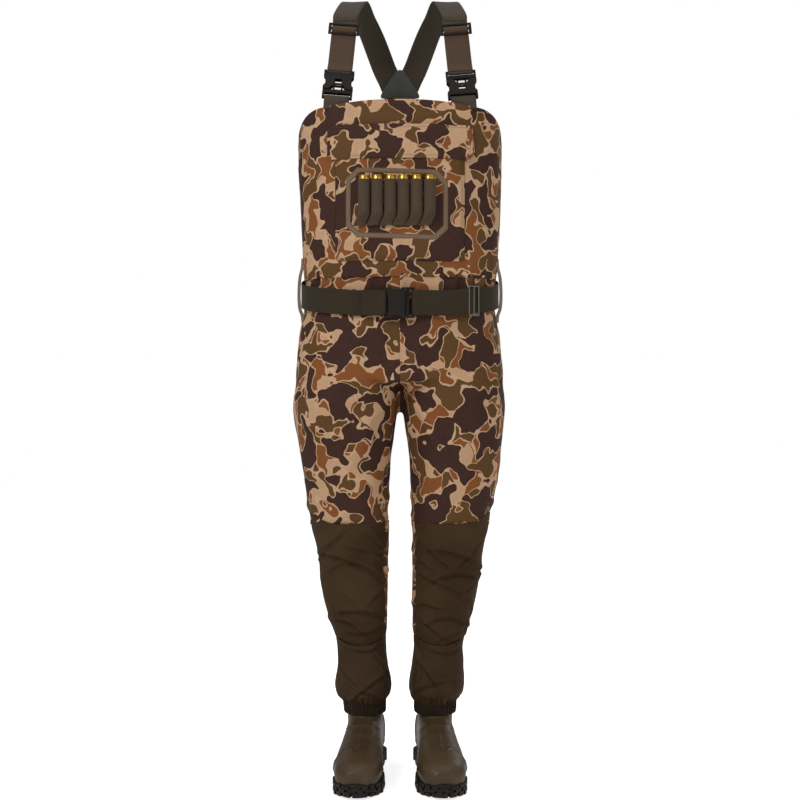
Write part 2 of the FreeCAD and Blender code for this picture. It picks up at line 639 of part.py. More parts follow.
def boot_form(offset):
    """The boot's outer form shrunk by offset: a shaft and a foot."""
    shaft = [oval(z, 0, a - offset, f + offset, b - offset, 2.1) for z, a, f, b in BOOT_SHAFT]
    foot = []
    for i, (y, half, top) in enumerate(BOOT_FOOT):
        middle, tall = (SOLE_TOP - 10 + top) / 2, (top - SOLE_TOP + 10) / 2
        ring = oval(0, 0, half - offset, offset - tall, tall - offset, 2.6)
        ring.rotate(V(0, 0, 0), V(1, 0, 0), 90)
        end_shift = {0: -offset, len(BOOT_FOOT) - 1: offset}.get(i, 0)
        ring.translate(V(0, y + end_shift, middle))
        foot.append(ring)
    return loft(shaft).fuse(loft(foot)).common(slab(SOLE_TOP + offset, BOOT_SHAFT_TOP))


def sole_outline(offset):
    """The sole's outline as a closed smooth wire, grown by offset."""
    points = [V(0, SOLE_HEEL_Y + offset, 0)] + [V(x + offset, y, 0) for x, y in SOLE_EDGE]
    points += [V(-x - offset, y, 0) for x, y in reversed(SOLE_EDGE)]
    curve = Part.BSplineCurve()
    curve.interpolate(Points=points, PeriodicFlag=True)
    return Part.Wire(curve.toShape())


def make_boots():
    """Upper, lining, footbed and lugged sole, modelled round the ankle's centre and then set down in pairs."""
    lining = BOOT_WALL + 0.4
    footbed = lining + LINING_T + 0.4
    top = slab(0, BOOT_SHAFT_TOP)
    sole = Part.Face(sole_outline(0)).extrude(V(0, 0, SOLE_TOP - 0.3 - LUG_HEIGHT + 1))
    sole.translate(V(0, 0, LUG_HEIGHT - 1))
    lugs = []
    for y in range(-228, SOLE_HEEL_Y, LUG_PITCH):
        lugs.append(box(-60, 60, y, y + LUG_LENGTH, 0, LUG_HEIGHT))
    tread = Part.Face(sole_outline(-2)).extrude(V(0, 0, LUG_HEIGHT))
    tread = tread.common(lugs[0].fuse(lugs[1:])).cut(box(-4, 4, -200, 60, -1, LUG_HEIGHT - 1))
    pieces = {
        "boot_upper": boot_form(0).cut(boot_form(BOOT_WALL)),
        "boot_lining": boot_form(lining).common(top).cut(boot_form(lining + LINING_T)),
        "boot_footbed": boot_form(footbed).common(slab(0, SOLE_TOP + footbed + 5)),
        "boot_outsole": sole.fuse(tread),
    }
    for name, shape in pieces.items():
        moved = boot_axes_placed(shape)
        for side, sign in SIDES.items():
            add(f"{name}_{side}", sided(moved, sign))


if __name__ == "__main__":
    os.makedirs("parts", exist_ok=True)
    make_bib()
    make_trousers()
    make_pocket()
    make_shell_loops()
    tabs = []
    for side, sign in SIDES.items():
        tabs.append(make_suspender(side, sign))
        make_shoulder_strap(side, sign)
    add("bib_tabs", Part.makeCompound(tabs))
    make_yoke()
    make_belt()
    make_belt_adjuster()
    make_belt_loops()
    make_boots()
    for name, shape in SHAPES.items():
        shape.translate(V(0, ORIGIN_Y, 0))
        print(name, len(shape.Solids), shape.isValid(), round(shape.Volume / 1000, 1), "cm3")
        shape.exportStep(f"parts/{name}.step")
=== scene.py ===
"""The looks of a pair of camouflage chest waders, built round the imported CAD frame.

Shapes are worked out in millimetres in the garment's own axes: +Z up, -Y the wearer's front, +X the wearer's
left, hips over y = 0. place() turns them into metres in the frame.
"""

import json
import math

import bpy
import bmesh
import numpy as np
from mathutils import Matrix, Vector, noise


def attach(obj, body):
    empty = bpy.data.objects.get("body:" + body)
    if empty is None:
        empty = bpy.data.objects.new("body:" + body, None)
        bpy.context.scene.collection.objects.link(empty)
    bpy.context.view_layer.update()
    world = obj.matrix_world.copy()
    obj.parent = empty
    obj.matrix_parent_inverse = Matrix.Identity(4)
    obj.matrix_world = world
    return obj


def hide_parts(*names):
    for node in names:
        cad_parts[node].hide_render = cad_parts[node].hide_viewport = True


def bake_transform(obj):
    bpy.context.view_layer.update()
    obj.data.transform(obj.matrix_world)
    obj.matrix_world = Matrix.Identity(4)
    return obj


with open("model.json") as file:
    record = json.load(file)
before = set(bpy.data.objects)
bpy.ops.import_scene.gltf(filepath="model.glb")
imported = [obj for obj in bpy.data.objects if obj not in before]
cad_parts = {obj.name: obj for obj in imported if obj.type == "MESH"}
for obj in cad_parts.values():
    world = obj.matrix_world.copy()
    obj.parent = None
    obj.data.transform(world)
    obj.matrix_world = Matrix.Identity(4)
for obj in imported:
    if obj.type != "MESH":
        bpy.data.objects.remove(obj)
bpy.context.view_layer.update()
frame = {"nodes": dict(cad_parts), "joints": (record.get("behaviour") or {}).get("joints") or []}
nodes = frame["nodes"]
joints = {j["name"]: j for j in frame["joints"]}

# the garment's own axes start under the hip hinges
ORIGIN_Y = joints["hip_right"]["pos_m"][1]
SIDES = {"right": -1, "left": 1}

# ---- garment sizes, in millimetres ---------------------------------------------------------------
# torso stations from the top down: height, half width, front y, back y
TORSO = [(1410, 203, -120, 112), (1345, 206, -125, 115), (1281, 208, -130, 118), (1220, 208, -132, 118),
         (1158, 206, -132, 115), (1096, 203, -130, 112), (1034, 199, -126, 110), (960, 194, -119, 110),
         (880, 206, -123, 130), (800, 213, -126, 138)]
# leg stations: height, centre x, half width, front y, back y
LEG = [(855, 101, 97, -106, 116), (800, 104, 107, -119, 130), (755, 109, 108.5, -120, 126),
       (700, 112, 103, -113, 112), (650, 112, 94, -105, 100), (600, 111, 89, -98, 90),
       (538, 106, 83, -90, 80),
       (450, 98, 71.5, -77, 66), (383, 94, 65, -69, 66), (321, 88, 57, -61, 66), (256, 80.5, 49, -52, 57)]
TORSO_SQUARE, LEG_SQUARE = 2.5, 2.15
BIB_FRONT_TOP, BIB_BACK_TOP, BIB_SIDE_TOP = 1348, 1388, 1250
BIB_FLAT = 1200                  # below this, the garment's rings are level
WAIST_SEAM, KNEE_SEAM = 1004, 507
CLOTH = 3.0                      # thickness of the laminated cloth


# ---- small tools ---------------------------------------------------------------------------------
def place(points):
    """Millimetres in the garment's axes to metres in the frame."""
    p = np.asarray(points, float).reshape(-1, 3) / 1000
    p[:, 1] += ORIGIN_Y
    return p


def smooth(t):
    """Eases from 0 to 1 as t does."""
    t = np.clip(t, 0, 1)
    return t * t * (3 - 2 * t)


def profile(stations, z):
    """Every column of the stations after the first, smoothly interpolated at heights z."""
    table = np.array(sorted(stations), float)
    knots, values = table[:, 0], table[:, 1:]
    slopes = np.gradient(values, knots, axis=0)
    z = np.clip(np.atleast_1d(np.asarray(z, float)), knots[0], knots[-1])
    i = np.clip(np.searchsorted(knots, z) - 1, 0, len(knots) - 2)
    h = knots[i + 1] - knots[i]
    t = ((z - knots[i]) / h)[:, None]
    h = h[:, None]
    a, b, ma, mb = values[i], values[i + 1], slopes[i], slopes[i + 1]
    return ((2 * t**3 - 3 * t**2 + 1) * a + (t**3 - 2 * t**2 + t) * h * ma
            + (3 * t**2 - 2 * t**3) * b + (t**3 - t**2) * h * mb)


def oval(angle, half, front, back, squareness):
    """x and y on a superellipse, at angles from +X towards +Y."""
    c, s = np.cos(angle), np.sin(angle)
    x = half * np.sign(c) * np.abs(c) ** (2 / squareness)
    y = (front + back) / 2 + (back - front) / 2 * np.sign(s) * np.abs(s) ** (2 / squareness)
    return x, y


def make_object(name, points, faces, material=None, smooth_shade=True):
    mesh = bpy.data.meshes.new(name)
    mesh.from_pydata([tuple(p) for p in points], [], faces)
    mesh.validate()
    obj = bpy.data.objects.new(name, mesh)
    bpy.context.scene.collection.objects.link(obj)
    if smooth_shade:
        mesh.polygons.foreach_set("use_smooth", [True] * len(mesh.polygons))
    if material:
        mesh.materials.append(material)
    return obj


def grid_faces(rows, columns, closed=False):
    faces = []
    for r in range(rows - 1):
        for c in range(columns if closed else columns - 1):
            d = (c + 1) % columns
            faces.append((r * columns + c, r * columns + d, (r + 1) * columns + d, (r + 1) * columns + c))
    return faces


def solid_faces(rows, columns, flip=False):
    """Faces of a closed tube with a flat cap at each end."""
    low, high = tuple(range(columns)), tuple(range(rows * columns - 1, (rows - 1) * columns - 1, -1))
    return grid_faces(rows, columns, closed=True) + ([low[::-1], high[::-1]] if flip else [low, high])


def face_outwards(obj):
    bm = bmesh.new()
    bm.from_mesh(obj.data)
    bmesh.ops.recalc_face_normals(bm, faces=bm.faces)
    bm.to_mesh(obj.data)
    bm.free()


def carry(obj, body, *cad_nodes):
    """The piece rides on a body and stands for CAD nodes."""
    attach(obj, body)
    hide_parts(*cad_nodes)


def run_lengths(path):
    """How far along a path each of its points lies."""
    return np.concatenate([[0], np.cumsum(np.linalg.norm(np.diff(path, axis=0), axis=1))])


def set_weave(obj, uv):
    """Stores where each point lies on its flat cloth, in metres, for weave and print."""
    attribute = obj.data.attributes.new("weave", "FLOAT_VECTOR", "POINT")
    flat = np.zeros((len(obj.data.vertices), 3), np.float32)
    flat[:, :2] = np.asarray(uv)[:, :2]
    attribute.data.foreach_set("vector", flat.ravel())


def add_modifier(obj, kind, **values):
    modifier = obj.modifiers.new(kind.title(), kind)
    for key, value in values.items():
        setattr(modifier, key, value)
    return modifier


def apply_modifiers(obj):
    depsgraph = bpy.context.evaluated_depsgraph_get()
    mesh = bpy.data.meshes.new_from_object(obj.evaluated_get(depsgraph), depsgraph=depsgraph)
    old = obj.data
    obj.modifiers.clear()
    obj.data = mesh
    bpy.data.meshes.remove(old)
    return obj


def coordinates(obj):
    co = np.zeros(len(obj.data.vertices) * 3, np.float32)
    obj.data.vertices.foreach_get("co", co)
    return co.reshape(-1, 3).astype(float)


def set_coordinates(obj, co):
    obj.data.vertices.foreach_set("co", np.asarray(co, np.float32).ravel())
    obj.data.update()


def noise_at(points, scale, seed=0.0):
    """Smooth noise from -1 to 1 at points in millimetres, with features about scale across."""
    shift = Vector((seed, seed * 1.7, -seed * 0.6))
    return np.array([noise.noise(Vector(p) / scale + shift) for p in points])


# ---- materials -----------------------------------------------------------------------------------
class Nodes:
    """A short way to write a material's node tree."""

    def __init__(self, name):
        self.material = bpy.data.materials.new(name)
        self.material.use_nodes = True
        self.tree = self.material.node_tree
        self.shader = self.tree.nodes["Principled BSDF"]

    def add(self, kind, inputs=(), **settings):
        node = self.tree.nodes.new(kind)
        for key, value in settings.items():
            setattr(node, key, value)
        for key, value in dict(inputs).items():
            if isinstance(value, bpy.types.NodeSocket):
                self.tree.links.new(value, node.inputs[key])
            else:
                node.inputs[key].default_value = value
        return node

    def math(self, operation, a, b=0.0, c=0.0):
        return self.add("ShaderNodeMath", {0: a, 1: b, 2: c}, operation=operation).outputs[0]

    def scaled(self, vector, size):
        """The vector divided by a size in metres."""
        return self.add("ShaderNodeVectorMath", {0: vector, "Scale": 1 / size}, operation="SCALE").outputs[0]

    def noise(self, vector, size, detail=2.0, rough=0.5):
        inputs = {"Vector": self.scaled(vector, size), "Scale": 1.0, "Detail": detail, "Roughness": rough}
        return self.add("ShaderNodeTexNoise", inputs)

    def grain(self, *settings):
        return self.noise(*settings).outputs["Fac"]

    def vector(self, operation, a, b):
        return self.add("ShaderNodeVectorMath", {0: a, 1: b}, operation=operation).outputs[0]

    def wave(self, value, pitch):
        """A sine of the value, with a wave's length in metres."""
        return self.math("SINE", self.math("MULTIPLY", value, 2 * math.pi / pitch))

    def mix(self, share, a, b):
        node = self.add("ShaderNodeMix", data_type="RGBA")
        for key, value in ((0, share), (6, a), (7, b)):
            if isinstance(value, bpy.types.NodeSocket):
                self.tree.links.new(value, node.inputs[key])
            else:
                node.inputs[key].default_value = value
        return node.outputs[2]

    def spread(self, value, low, high, to_low=0.0, to_high=1.0):
        inputs = {0: value, 1: low, 2: high, 3: to_low, 4: to_high}
        return self.add("ShaderNodeMapRange", inputs).outputs[0]

    def weave(self):
        return self.add("ShaderNodeAttribute", attribute_name="weave").outputs["Vector"]

    def object_point(self):
        return self.add("ShaderNodeTexCoord").outputs["Object"]

    def surface(self, colour=None, rough=None, bumps=(), **fixed):
        """Links colour and roughness, chains bumps of (height, strength, distance), sets fixed sockets."""
        for socket, value in (("Base Color", colour), ("Roughness", rough)):
            if isinstance(value, bpy.types.NodeSocket):
                self.tree.links.new(value, self.shader.inputs[socket])
            elif value is not None:
                self.shader.inputs[socket].default_value = value
        normal = None
        for height, strength, distance in bumps:
            inputs = {"Height": height, "Strength": strength, "Distance": distance}
            if normal:
                inputs["Normal"] = normal
            normal = self.add("ShaderNodeBump", inputs).outputs[0]
        if normal:
            self.tree.links.new(normal, self.shader.inputs["Normal"])
        for key, value in fixed.items():
            self.shader.inputs[key.replace("_", " ")].default_value = value
        return self.material


def srgb(r, g, b):
    """A colour given in display values from 0 to 255, as the linear colour that a shader takes."""
    shares = [v / 255 for v in (r, g, b)]
    return tuple(((v + 0.055) / 1.055) ** 2.4 if v > 0.04 else v / 12.92 for v in shares) + (1.0,)


def twill(n, point, pitch):
    """Fine diagonal ribs of a twill cloth as a height."""
    mapping = n.add("ShaderNodeMapping", {"Vector": n.scaled(point, pitch), "Rotation": (0, 0, 0.7)})
    wave = n.add("ShaderNodeTexWave", {"Vector": mapping.outputs[0], "Scale": 1.0, "Distortion": 0.6,
                                       "Detail": 1.0})
    return wave.outputs["Fac"]


CAMO = {
    "tan": srgb(197, 160, 127),
    "tan_shade": srgb(182, 145, 112),
    "dark": srgb(60, 37, 31),
    "olive": srgb(92, 64, 34),
    "rust": srgb(130, 77, 39),
}
# each layer of blobs: colour, size of its broad shapes and its lobes in metres, cut-off, where it starts
CAMO_LAYERS = (
    ("rust", 0.041, 0.023, 0.330, (0.0, 0.0, 0.0)),
    ("olive", 0.043, 0.024, 0.374, (3.1, 1.7, 2.2)),
    ("dark", 0.042, 0.023, 0.384, (7.3, 5.1, 4.4)),
)


def camo_material():
    """Old-style camouflage: scalloped blobs in three browns, each outlined in the tan of the ground."""
    n = Nodes("camo_cloth")
    p = n.weave()
    bend = n.noise(p, 0.050, 2.0, 0.45).outputs["Color"]
    centre = n.vector("SUBTRACT", bend, (0.5, 0.5, 0.5))
    bent = n.add("ShaderNodeVectorMath", {0: centre, "Scale": 0.042}, operation="SCALE").outputs[0]
    warped = n.vector("ADD", p, bent)
    shade = n.grain(p, 0.3, 2.0)
    colour = n.mix(shade, CAMO["tan"], CAMO["tan_shade"])
    for layer, (name, size, lobe, level, shift) in enumerate(CAMO_LAYERS):
        moved = n.vector("ADD", warped, shift)
        broad = n.grain(moved, size, 0.35)
        scallop = n.add("ShaderNodeTexVoronoi",
                        {"Vector": n.scaled(moved, lobe), "Scale": 1.0, "Smoothness": 0.4},
                        feature="SMOOTH_F1").outputs["Distance"]
        field = n.math("SUBTRACT", broad, n.math("MULTIPLY", scallop, 0.22))
        outline = n.spread(field, level - 0.003, level + 0.003)
        body = n.spread(field, level + 0.030, level + 0.036)
        colour = n.mix(outline, colour, CAMO["tan"])
        colour = n.mix(body, colour, CAMO[name])
    wear = n.grain(p, 0.006, 3.0)
    colour = n.mix(n.spread(wear, 0.3, 0.8, 0.0, 0.10), colour, srgb(120, 95, 72))
    fine = n.grain(p, 0.0011, 2.0)
    bumps = ((fine, 0.12, 0.0004), (twill(n, p, 0.0016), 0.10, 0.0004), (n.grain(p, 0.02), 0.15, 0.002))
    return n.surface(colour, n.spread(wear, 0.2, 0.8, 0.62, 0.78), bumps, Sheen_Weight=0.0,
                     Sheen_Roughness=0.5,
                     Specular_IOR_Level=0.12)


def plain_cloth(name, colour, dark, rough, sheen, gloss=0.22):
    """Plain twill cloth, a little patchy and crinkled."""
    n = Nodes(name)
    p = n.weave()
    patch = n.grain(p, 0.09, 3.0)
    fleck = n.grain(p, 0.0022, 2.0)
    base = n.mix(n.spread(patch, 0.3, 0.7), colour, dark)
    base = n.mix(n.spread(fleck, 0.35, 0.75, 0.0, 0.35), base, dark)
    crinkle = n.grain(p, 0.012, 3.0, 0.55)
    fine = n.grain(p, 0.0009, 1.0)
    bumps = ((twill(n, p, 0.0012), 0.14, 0.0004), (fine, 0.15, 0.0004), (crinkle, 0.18, 0.0025))
    return n.surface(base, n.spread(patch, 0.2, 0.8, rough - 0.06, rough + 0.06), bumps, Sheen_Weight=sheen,
                     Sheen_Roughness=0.45, Specular_IOR_Level=gloss)


def webbing_material(name, colour, dark):
    """Woven strap: ribs across the strap, with a herringbone of fine threads along it."""
    n = Nodes(name)
    p = n.weave()
    parts = n.add("ShaderNodeSeparateXYZ", {0: p})
    along = n.math("MULTIPLY", parts.outputs[1], 2 * math.pi / 0.0021)
    across = n.math("MULTIPLY", parts.outputs[0], 2 * math.pi / 0.0032)
    offset = n.math("MULTIPLY", n.math("SINE", across), 1.1)
    ribs = n.math("SINE", n.math("ADD", along, offset))
    threads = n.wave(parts.outputs[0], 0.0011)
    patch = n.grain(p, 0.05, 3.0)
    base = n.mix(n.spread(ribs, -1, 1, 0.0, 0.7), dark, colour)
    base = n.mix(n.spread(patch, 0.3, 0.8, 0.0, 0.3), base, dark)
    fuzz = n.grain(p, 0.0012, 2.0)
    bumps = ((ribs, 0.35, 0.0003), (threads, 0.12, 0.0002), (fuzz, 0.2, 0.0003))
    return n.surface(base, 0.72, bumps, Sheen_Weight=0.05, Sheen_Roughness=0.4, Specular_IOR_Level=0.18)


def elastic_material(name, colour, dark):
    """Ribbed elastic: cords run along v, close together."""
    n = Nodes(name)
    p = n.weave()
    parts = n.add("ShaderNodeSeparateXYZ", {0: p})
    cords = n.wave(parts.outputs[0], 0.0022)
    stitches = n.wave(parts.outputs[1], 0.0016)
    patch = n.grain(p, 0.03, 3.0)
    base = n.mix(n.spread(cords, -1, 1, 0.0, 0.6), dark, colour)
    base = n.mix(n.spread(patch, 0.3, 0.8, 0.0, 0.35), base, dark)
    bumps = ((cords, 0.3, 0.0003), (stitches, 0.12, 0.0002), (n.grain(p, 0.004), 0.15, 0.0006))
    return n.surface(base, 0.85, bumps, Sheen_Weight=0.04, Sheen_Roughness=0.5, Specular_IOR_Level=0.15)


def moulded_material(name, colour, dark, rough, grain, coat=0.0, worn=None, gloss=0.5):
    """Rubber or plastic: even colour with soft mottling, a fine grain, and scuffs on its high spots."""
    n = Nodes(name)
    p = n.object_point()
    mottle = n.grain(p, 0.05, 4.0)
    fine = n.grain(p, grain, 2.0)
    base = n.mix(n.spread(mottle, 0.35, 0.7), colour, dark)
    smudge = n.grain(p, 0.02, 5.0, 0.6)
    if worn:
        pointed = n.add("ShaderNodeNewGeometry").outputs["Pointiness"]
        edge = n.spread(pointed, 0.53, 0.62, 0.0, 0.35)
        base = n.mix(edge, base, worn)
    bumps = ((fine, 0.12, 0.0004), (mottle, 0.08, 0.003))
    return n.surface(base, n.spread(smudge, 0.3, 0.75, rough - 0.05, rough + 0.12), bumps, Coat_Weight=coat,
                     Coat_Roughness=0.3, Specular_IOR_Level=gloss)


def metal_material(name, colour, rough):
    """Bare metal with faint smudges."""
    n = Nodes(name)
    p = n.object_point()
    smudge = n.grain(p, 0.006, 4.0)
    base = n.mix(n.spread(smudge, 0.4, 0.8, 0.0, 0.4), colour, tuple(c * 0.6 for c in colour[:3]) + (1,))
    fine = n.grain(p, 0.0008, 2.0)
    return n.surface(base, n.spread(smudge, 0.3, 0.8, rough, rough + 0.15), ((fine, 0.06, 0.0002),),
                     Metallic=1.0)


def thread_material(name, colour):
    """Sewing thread with darker flecks."""
    n = Nodes(name)
    p = n.object_point()
    fleck = n.grain(p, 0.0008, 1.0)
    base = n.mix(fleck, colour, tuple(c * 0.5 for c in colour[:3]) + (1,))
    return n.surface(base, 0.6, ((fleck, 0.3, 0.0003),), Sheen_Weight=0.2)


MATERIALS = {
    "camo_cloth": camo_material(),
    "guard_cloth": plain_cloth("guard_cloth", srgb(69, 52, 33), srgb(57, 41, 25), 0.68, 0.0, gloss=0.09),
    "gaiter_cloth": plain_cloth("gaiter_cloth", srgb(68, 51, 32), srgb(55, 39, 24), 0.66, 0.0, gloss=0.11),
    "brown_elastic": elastic_material("brown_elastic", srgb(58, 42, 28), srgb(32, 22, 14)),
    "boot_rubber": moulded_material("boot_rubber", srgb(76, 60, 39), srgb(66, 50, 32), 0.40, 0.0009, 0.03,
                                    gloss=0.3),
    "sole_rubber": moulded_material("sole_rubber", srgb(34, 29, 25), srgb(22, 18, 16), 0.55, 0.0012,
                                    gloss=0.25),
    "lining_foam": plain_cloth("lining_foam", srgb(40, 40, 40), srgb(30, 30, 30), 0.9, 0.1),
    "olive_webbing": webbing_material("olive_webbing", srgb(88, 77, 65), srgb(62, 53, 43)),
    "brown_webbing": webbing_material("brown_webbing", srgb(92, 71, 56), srgb(70, 53, 40)),
    "belt_web": webbing_material("belt_web", srgb(64, 54, 38), srgb(43, 35, 24)),
    "taupe_trim": webbing_material("taupe_trim", srgb(140, 116, 94), srgb(114, 92, 73)),
    "loop_elastic": elastic_material("loop_elastic", srgb(108, 88, 71), srgb(66, 52, 40)),
    "buckle_plastic": moulded_material("buckle_plastic", srgb(26, 21, 19), srgb(16, 13, 11), 0.45, 0.0006,
                                       0.0,
                                       srgb(50, 45, 41), 0.2),
    "yoke_rubber": moulded_material("yoke_rubber", srgb(84, 84, 80), srgb(73, 73, 69), 0.66, 0.0010,
                                    gloss=0.35),
    "wire_steel": metal_material("wire_steel", srgb(120, 114, 108), 0.36),
    "shell_brass": metal_material("shell_brass", srgb(206, 160, 74), 0.26),
    "inner_cloth": plain_cloth("inner_cloth", srgb(74, 66, 56), srgb(58, 52, 44), 0.8, 0.05),
    "hull_plastic": moulded_material("hull_plastic", srgb(40, 62, 44), srgb(30, 48, 34), 0.4, 0.001),
    "camo_thread": thread_material("camo_thread", srgb(92, 70, 48)),
    "brown_thread": thread_material("brown_thread", srgb(44, 32, 22)),
}


# ---- forms ---------------------------------------------------------------------------------------
def tube(stations, squareness, heights, count, sign=1):
    """Points and faces of a closed tube through stations, with flat ends."""
    rows = profile(stations, heights)
    angle = np.arange(count) * 2 * math.pi / count
    points = []
    for z, row in zip(heights, rows):
        centre, half, front, back = row if len(row) == 4 else (0.0, *row)
        x, y = oval(angle, half, front, back, squareness)
        points.append(np.column_stack([sign * centre + x, y, np.full(count, z)]))
    return np.concatenate(points), solid_faces(len(heights), count)


def fused(name, forms, voxel):
    """One clean skin round overlapping closed forms."""
    points, faces = [], []
    for form_points, form_faces in forms:
        start = sum(len(p) for p in points)
        points.append(form_points)
        faces += [tuple(i + start for i in face) for face in form_faces]
    obj = make_object(name, place(np.concatenate(points)), faces)
    add_modifier(obj, "REMESH", mode="VOXEL", voxel_size=voxel, use_smooth_shade=True)
    return apply_modifiers(obj)


def relax(obj, weights, rounds=20):
    """Smooths the mesh where its weights say so."""
    group = obj.vertex_groups.new(name="relax")
    for index in np.nonzero(weights > 0.01)[0]:
        group.add([int(index)], float(weights[index]), "REPLACE")
    add_modifier(obj, "SMOOTH", factor=0.5, iterations=rounds, vertex_group="relax")
    apply_modifiers(obj)
    obj.vertex_groups.clear()


def cut_away(obj, point, normal):
    """Cuts the mesh at a plane and removes what lies on the side that the normal points to."""
    bm = bmesh.new()
    bm.from_mesh(obj.data)
    whole = bm.verts[:] + bm.edges[:] + bm.faces[:]
    bmesh.ops.bisect_plane(bm, geom=whole, plane_co=place([point])[0], plane_no=normal, clear_outer=True)
    bm.to_mesh(obj.data)
    bm.free()


def copy_of(obj, name):
    copied = bpy.data.objects.new(name, obj.data.copy())
    bpy.context.scene.collection.objects.link(copied)
    return copied


def drop(obj):
    bpy.data.objects.remove(obj, do_unlink=True)


def millimetres(obj):
    """The mesh's points back in millimetres in the garment's axes."""
    co = coordinates(obj)
    co[:, 1] -= ORIGIN_Y
    return co * 1000


def vertex_normals(obj):
    n = np.zeros(len(obj.data.vertices) * 3, np.float32)
    obj.data.vertex_normals.foreach_get("vector", n)
    return n.reshape(-1, 3).astype(float)


def push(obj, amount):
    """Moves every point along its normal by an amount in millimetres."""
    set_coordinates(obj, coordinates(obj) + vertex_normals(obj) * np.asarray(amount)[:, None] / 1000)


def store_rest(obj, shift=(0, 0, 0)):
    """Keeps the unwrinkled place of every point as its place on the cloth."""
    attribute = obj.data.attributes.new("weave", "FLOAT_VECTOR", "POINT")
    flat = (coordinates(obj) + np.array(shift)).astype(np.float32)
    attribute.data.foreach_set("vector", flat.ravel())


def ridged(phase):
    """A fold's profile: round ridges between narrower valleys, from -1 to 1."""
    return 1 - 2 * np.abs(np.sin(phase / 2)) ** 0.75


def bump_line(distance, width):
    """1 on a line, fading to nothing over a width either side."""
    return np.exp(-(distance / width) ** 2)


def dress(obj, material, inside=None, thickness=CLOTH, levels=1):
    """Gives a skin its materials, a thickness inwards and a finer surface."""
    obj.data.materials.clear()
    obj.data.materials.append(MATERIALS[material])
    obj.data.materials.append(MATERIALS[inside or material])
    if levels:
        add_modifier(obj, "SUBSURF", levels=levels, render_levels=levels)
    add_modifier(obj, "SOLIDIFY", thickness=thickness / 1000, offset=-1.0, material_offset=1,
                 material_offset_rim=0)


def sweep(name, sections, width, thickness, material, weave_shift=0.0):
    """A flat strap with rounded edges through sections of (centre, across, normal), in millimetres."""
    sections = [tuple(np.asarray(v, float) for v in s) for s in sections]
    half, t = width / 2, thickness / 2
    rim = min(t * 0.8, half * 0.3)
    flats = np.linspace(-(half - rim), half - rim, 9)
    outline = [(a, t) for a in flats] + [(half, 0.0)] + [(a, -t) for a in flats[::-1]] + [(-half, 0.0)]
    points, weave, run = [], [], 0.0
    for i, (centre, across, normal) in enumerate(sections):
        if i:
            run += np.linalg.norm(centre - sections[i - 1][0])
        across = across / np.linalg.norm(across)
        normal = normal - across * normal.dot(across)
        normal = normal / np.linalg.norm(normal)
        for a, n in outline:
            points.append(centre + across * a + normal * n)
            weave.append(((a + weave_shift) / 1000, run / 1000))
    faces = solid_faces(len(sections), len(outline))
    obj = make_object(name, place(points), faces, MATERIALS[material])
    face_outwards(obj)
    set_weave(obj, weave)
    obj.data.polygons.foreach_set("use_smooth", [len(p.vertices) == 4 for p in obj.data.polygons])
    return obj


def through(points, step):
    """A smooth path through points (rows of any length), about step apart in their first three columns."""
    rows = np.asarray(points, float)
    ends = np.vstack([2 * rows[0] - rows[1], rows, 2 * rows[-1] - rows[-2]])
    path = []
    for p0, p1, p2, p3 in zip(ends, ends[1:], ends[2:], ends[3:]):
        count = max(2, int(np.linalg.norm((p2 - p1)[:3]) / step))
        for t in np.arange(count) / count:
            path.append(0.5 * (2 * p1 + (p2 - p0) * t + (2 * p0 - 5 * p1 + 4 * p2 - p3) * t**2
                               + (3 * p1 - p0 - 3 * p2 + p3) * t**3))
    path.append(rows[-1])
    return np.array(path)


def stitch_line(name, path, normals, body, thread="camo_thread", pitch=4.2, long=3.0, radius=0.34):
    """A row of raised stitches along a path, each a small spindle of thread."""
    path, normals = np.asarray(path, float), np.asarray(normals, float)
    length = run_lengths(path)
    points, faces = [], []
    for at in np.arange(pitch / 2, length[-1] - pitch / 2, pitch):
        ends = [np.array([np.interp(at + d, length, path[:, k]) for k in range(3)])
                for d in (-long / 2, long / 2)]
        n = np.array([np.interp(at, length, normals[:, k]) for k in range(3)])
        along = ends[1] - ends[0]
        side = np.cross(along, n)
        side = side / (np.linalg.norm(side) + 1e-9) * radius
        lift = n / (np.linalg.norm(n) + 1e-9) * radius
        start = len(points)
        middle = [ends[0] + along * 0.2, ends[0] + along * 0.8]
        points.append(ends[0] - lift * 0.5)
        for m in middle:
            points += [m + side, m + lift * 1.3, m - side, m - lift * 0.6]
        points.append(ends[1] - lift * 0.5)
        a, b, c = start, start + 1, start + 5
        for k in range(4):
            j = (k + 1) % 4
            faces += [(a, b + k, b + j), (b + k, c + k, c + j, b + j), (c + k, start + 9, c + j)]
    obj = make_object(name, place(points), faces, MATERIALS[thread])
    face_outwards(obj)
    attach(obj, body)


# ---- bib -----------------------------------------------------------------------------------------
def bib_top(x, y):
    """The height of the bib's top edge over a point of its ring."""
    ax = np.abs(x)
    front = BIB_SIDE_TOP + 25 + (BIB_FRONT_TOP - BIB_SIDE_TOP - 25 - 8 * (np.minimum(ax, 150) / 128) ** 2) * (
        1 - np.clip((ax - 148) / 59, 0, 1) ** 2.4) ** (1 / 2.4)
    back = BIB_SIDE_TOP + (BIB_BACK_TOP - BIB_SIDE_TOP) * np.sqrt(1 - np.clip((ax - 60) / 145, 0, 1) ** 2)
    return np.where(y < 0, front, back)


def torso_point(angle, z):
    half, front, back = profile(TORSO, z).T
    return oval(angle, half, front, back, TORSO_SQUARE)


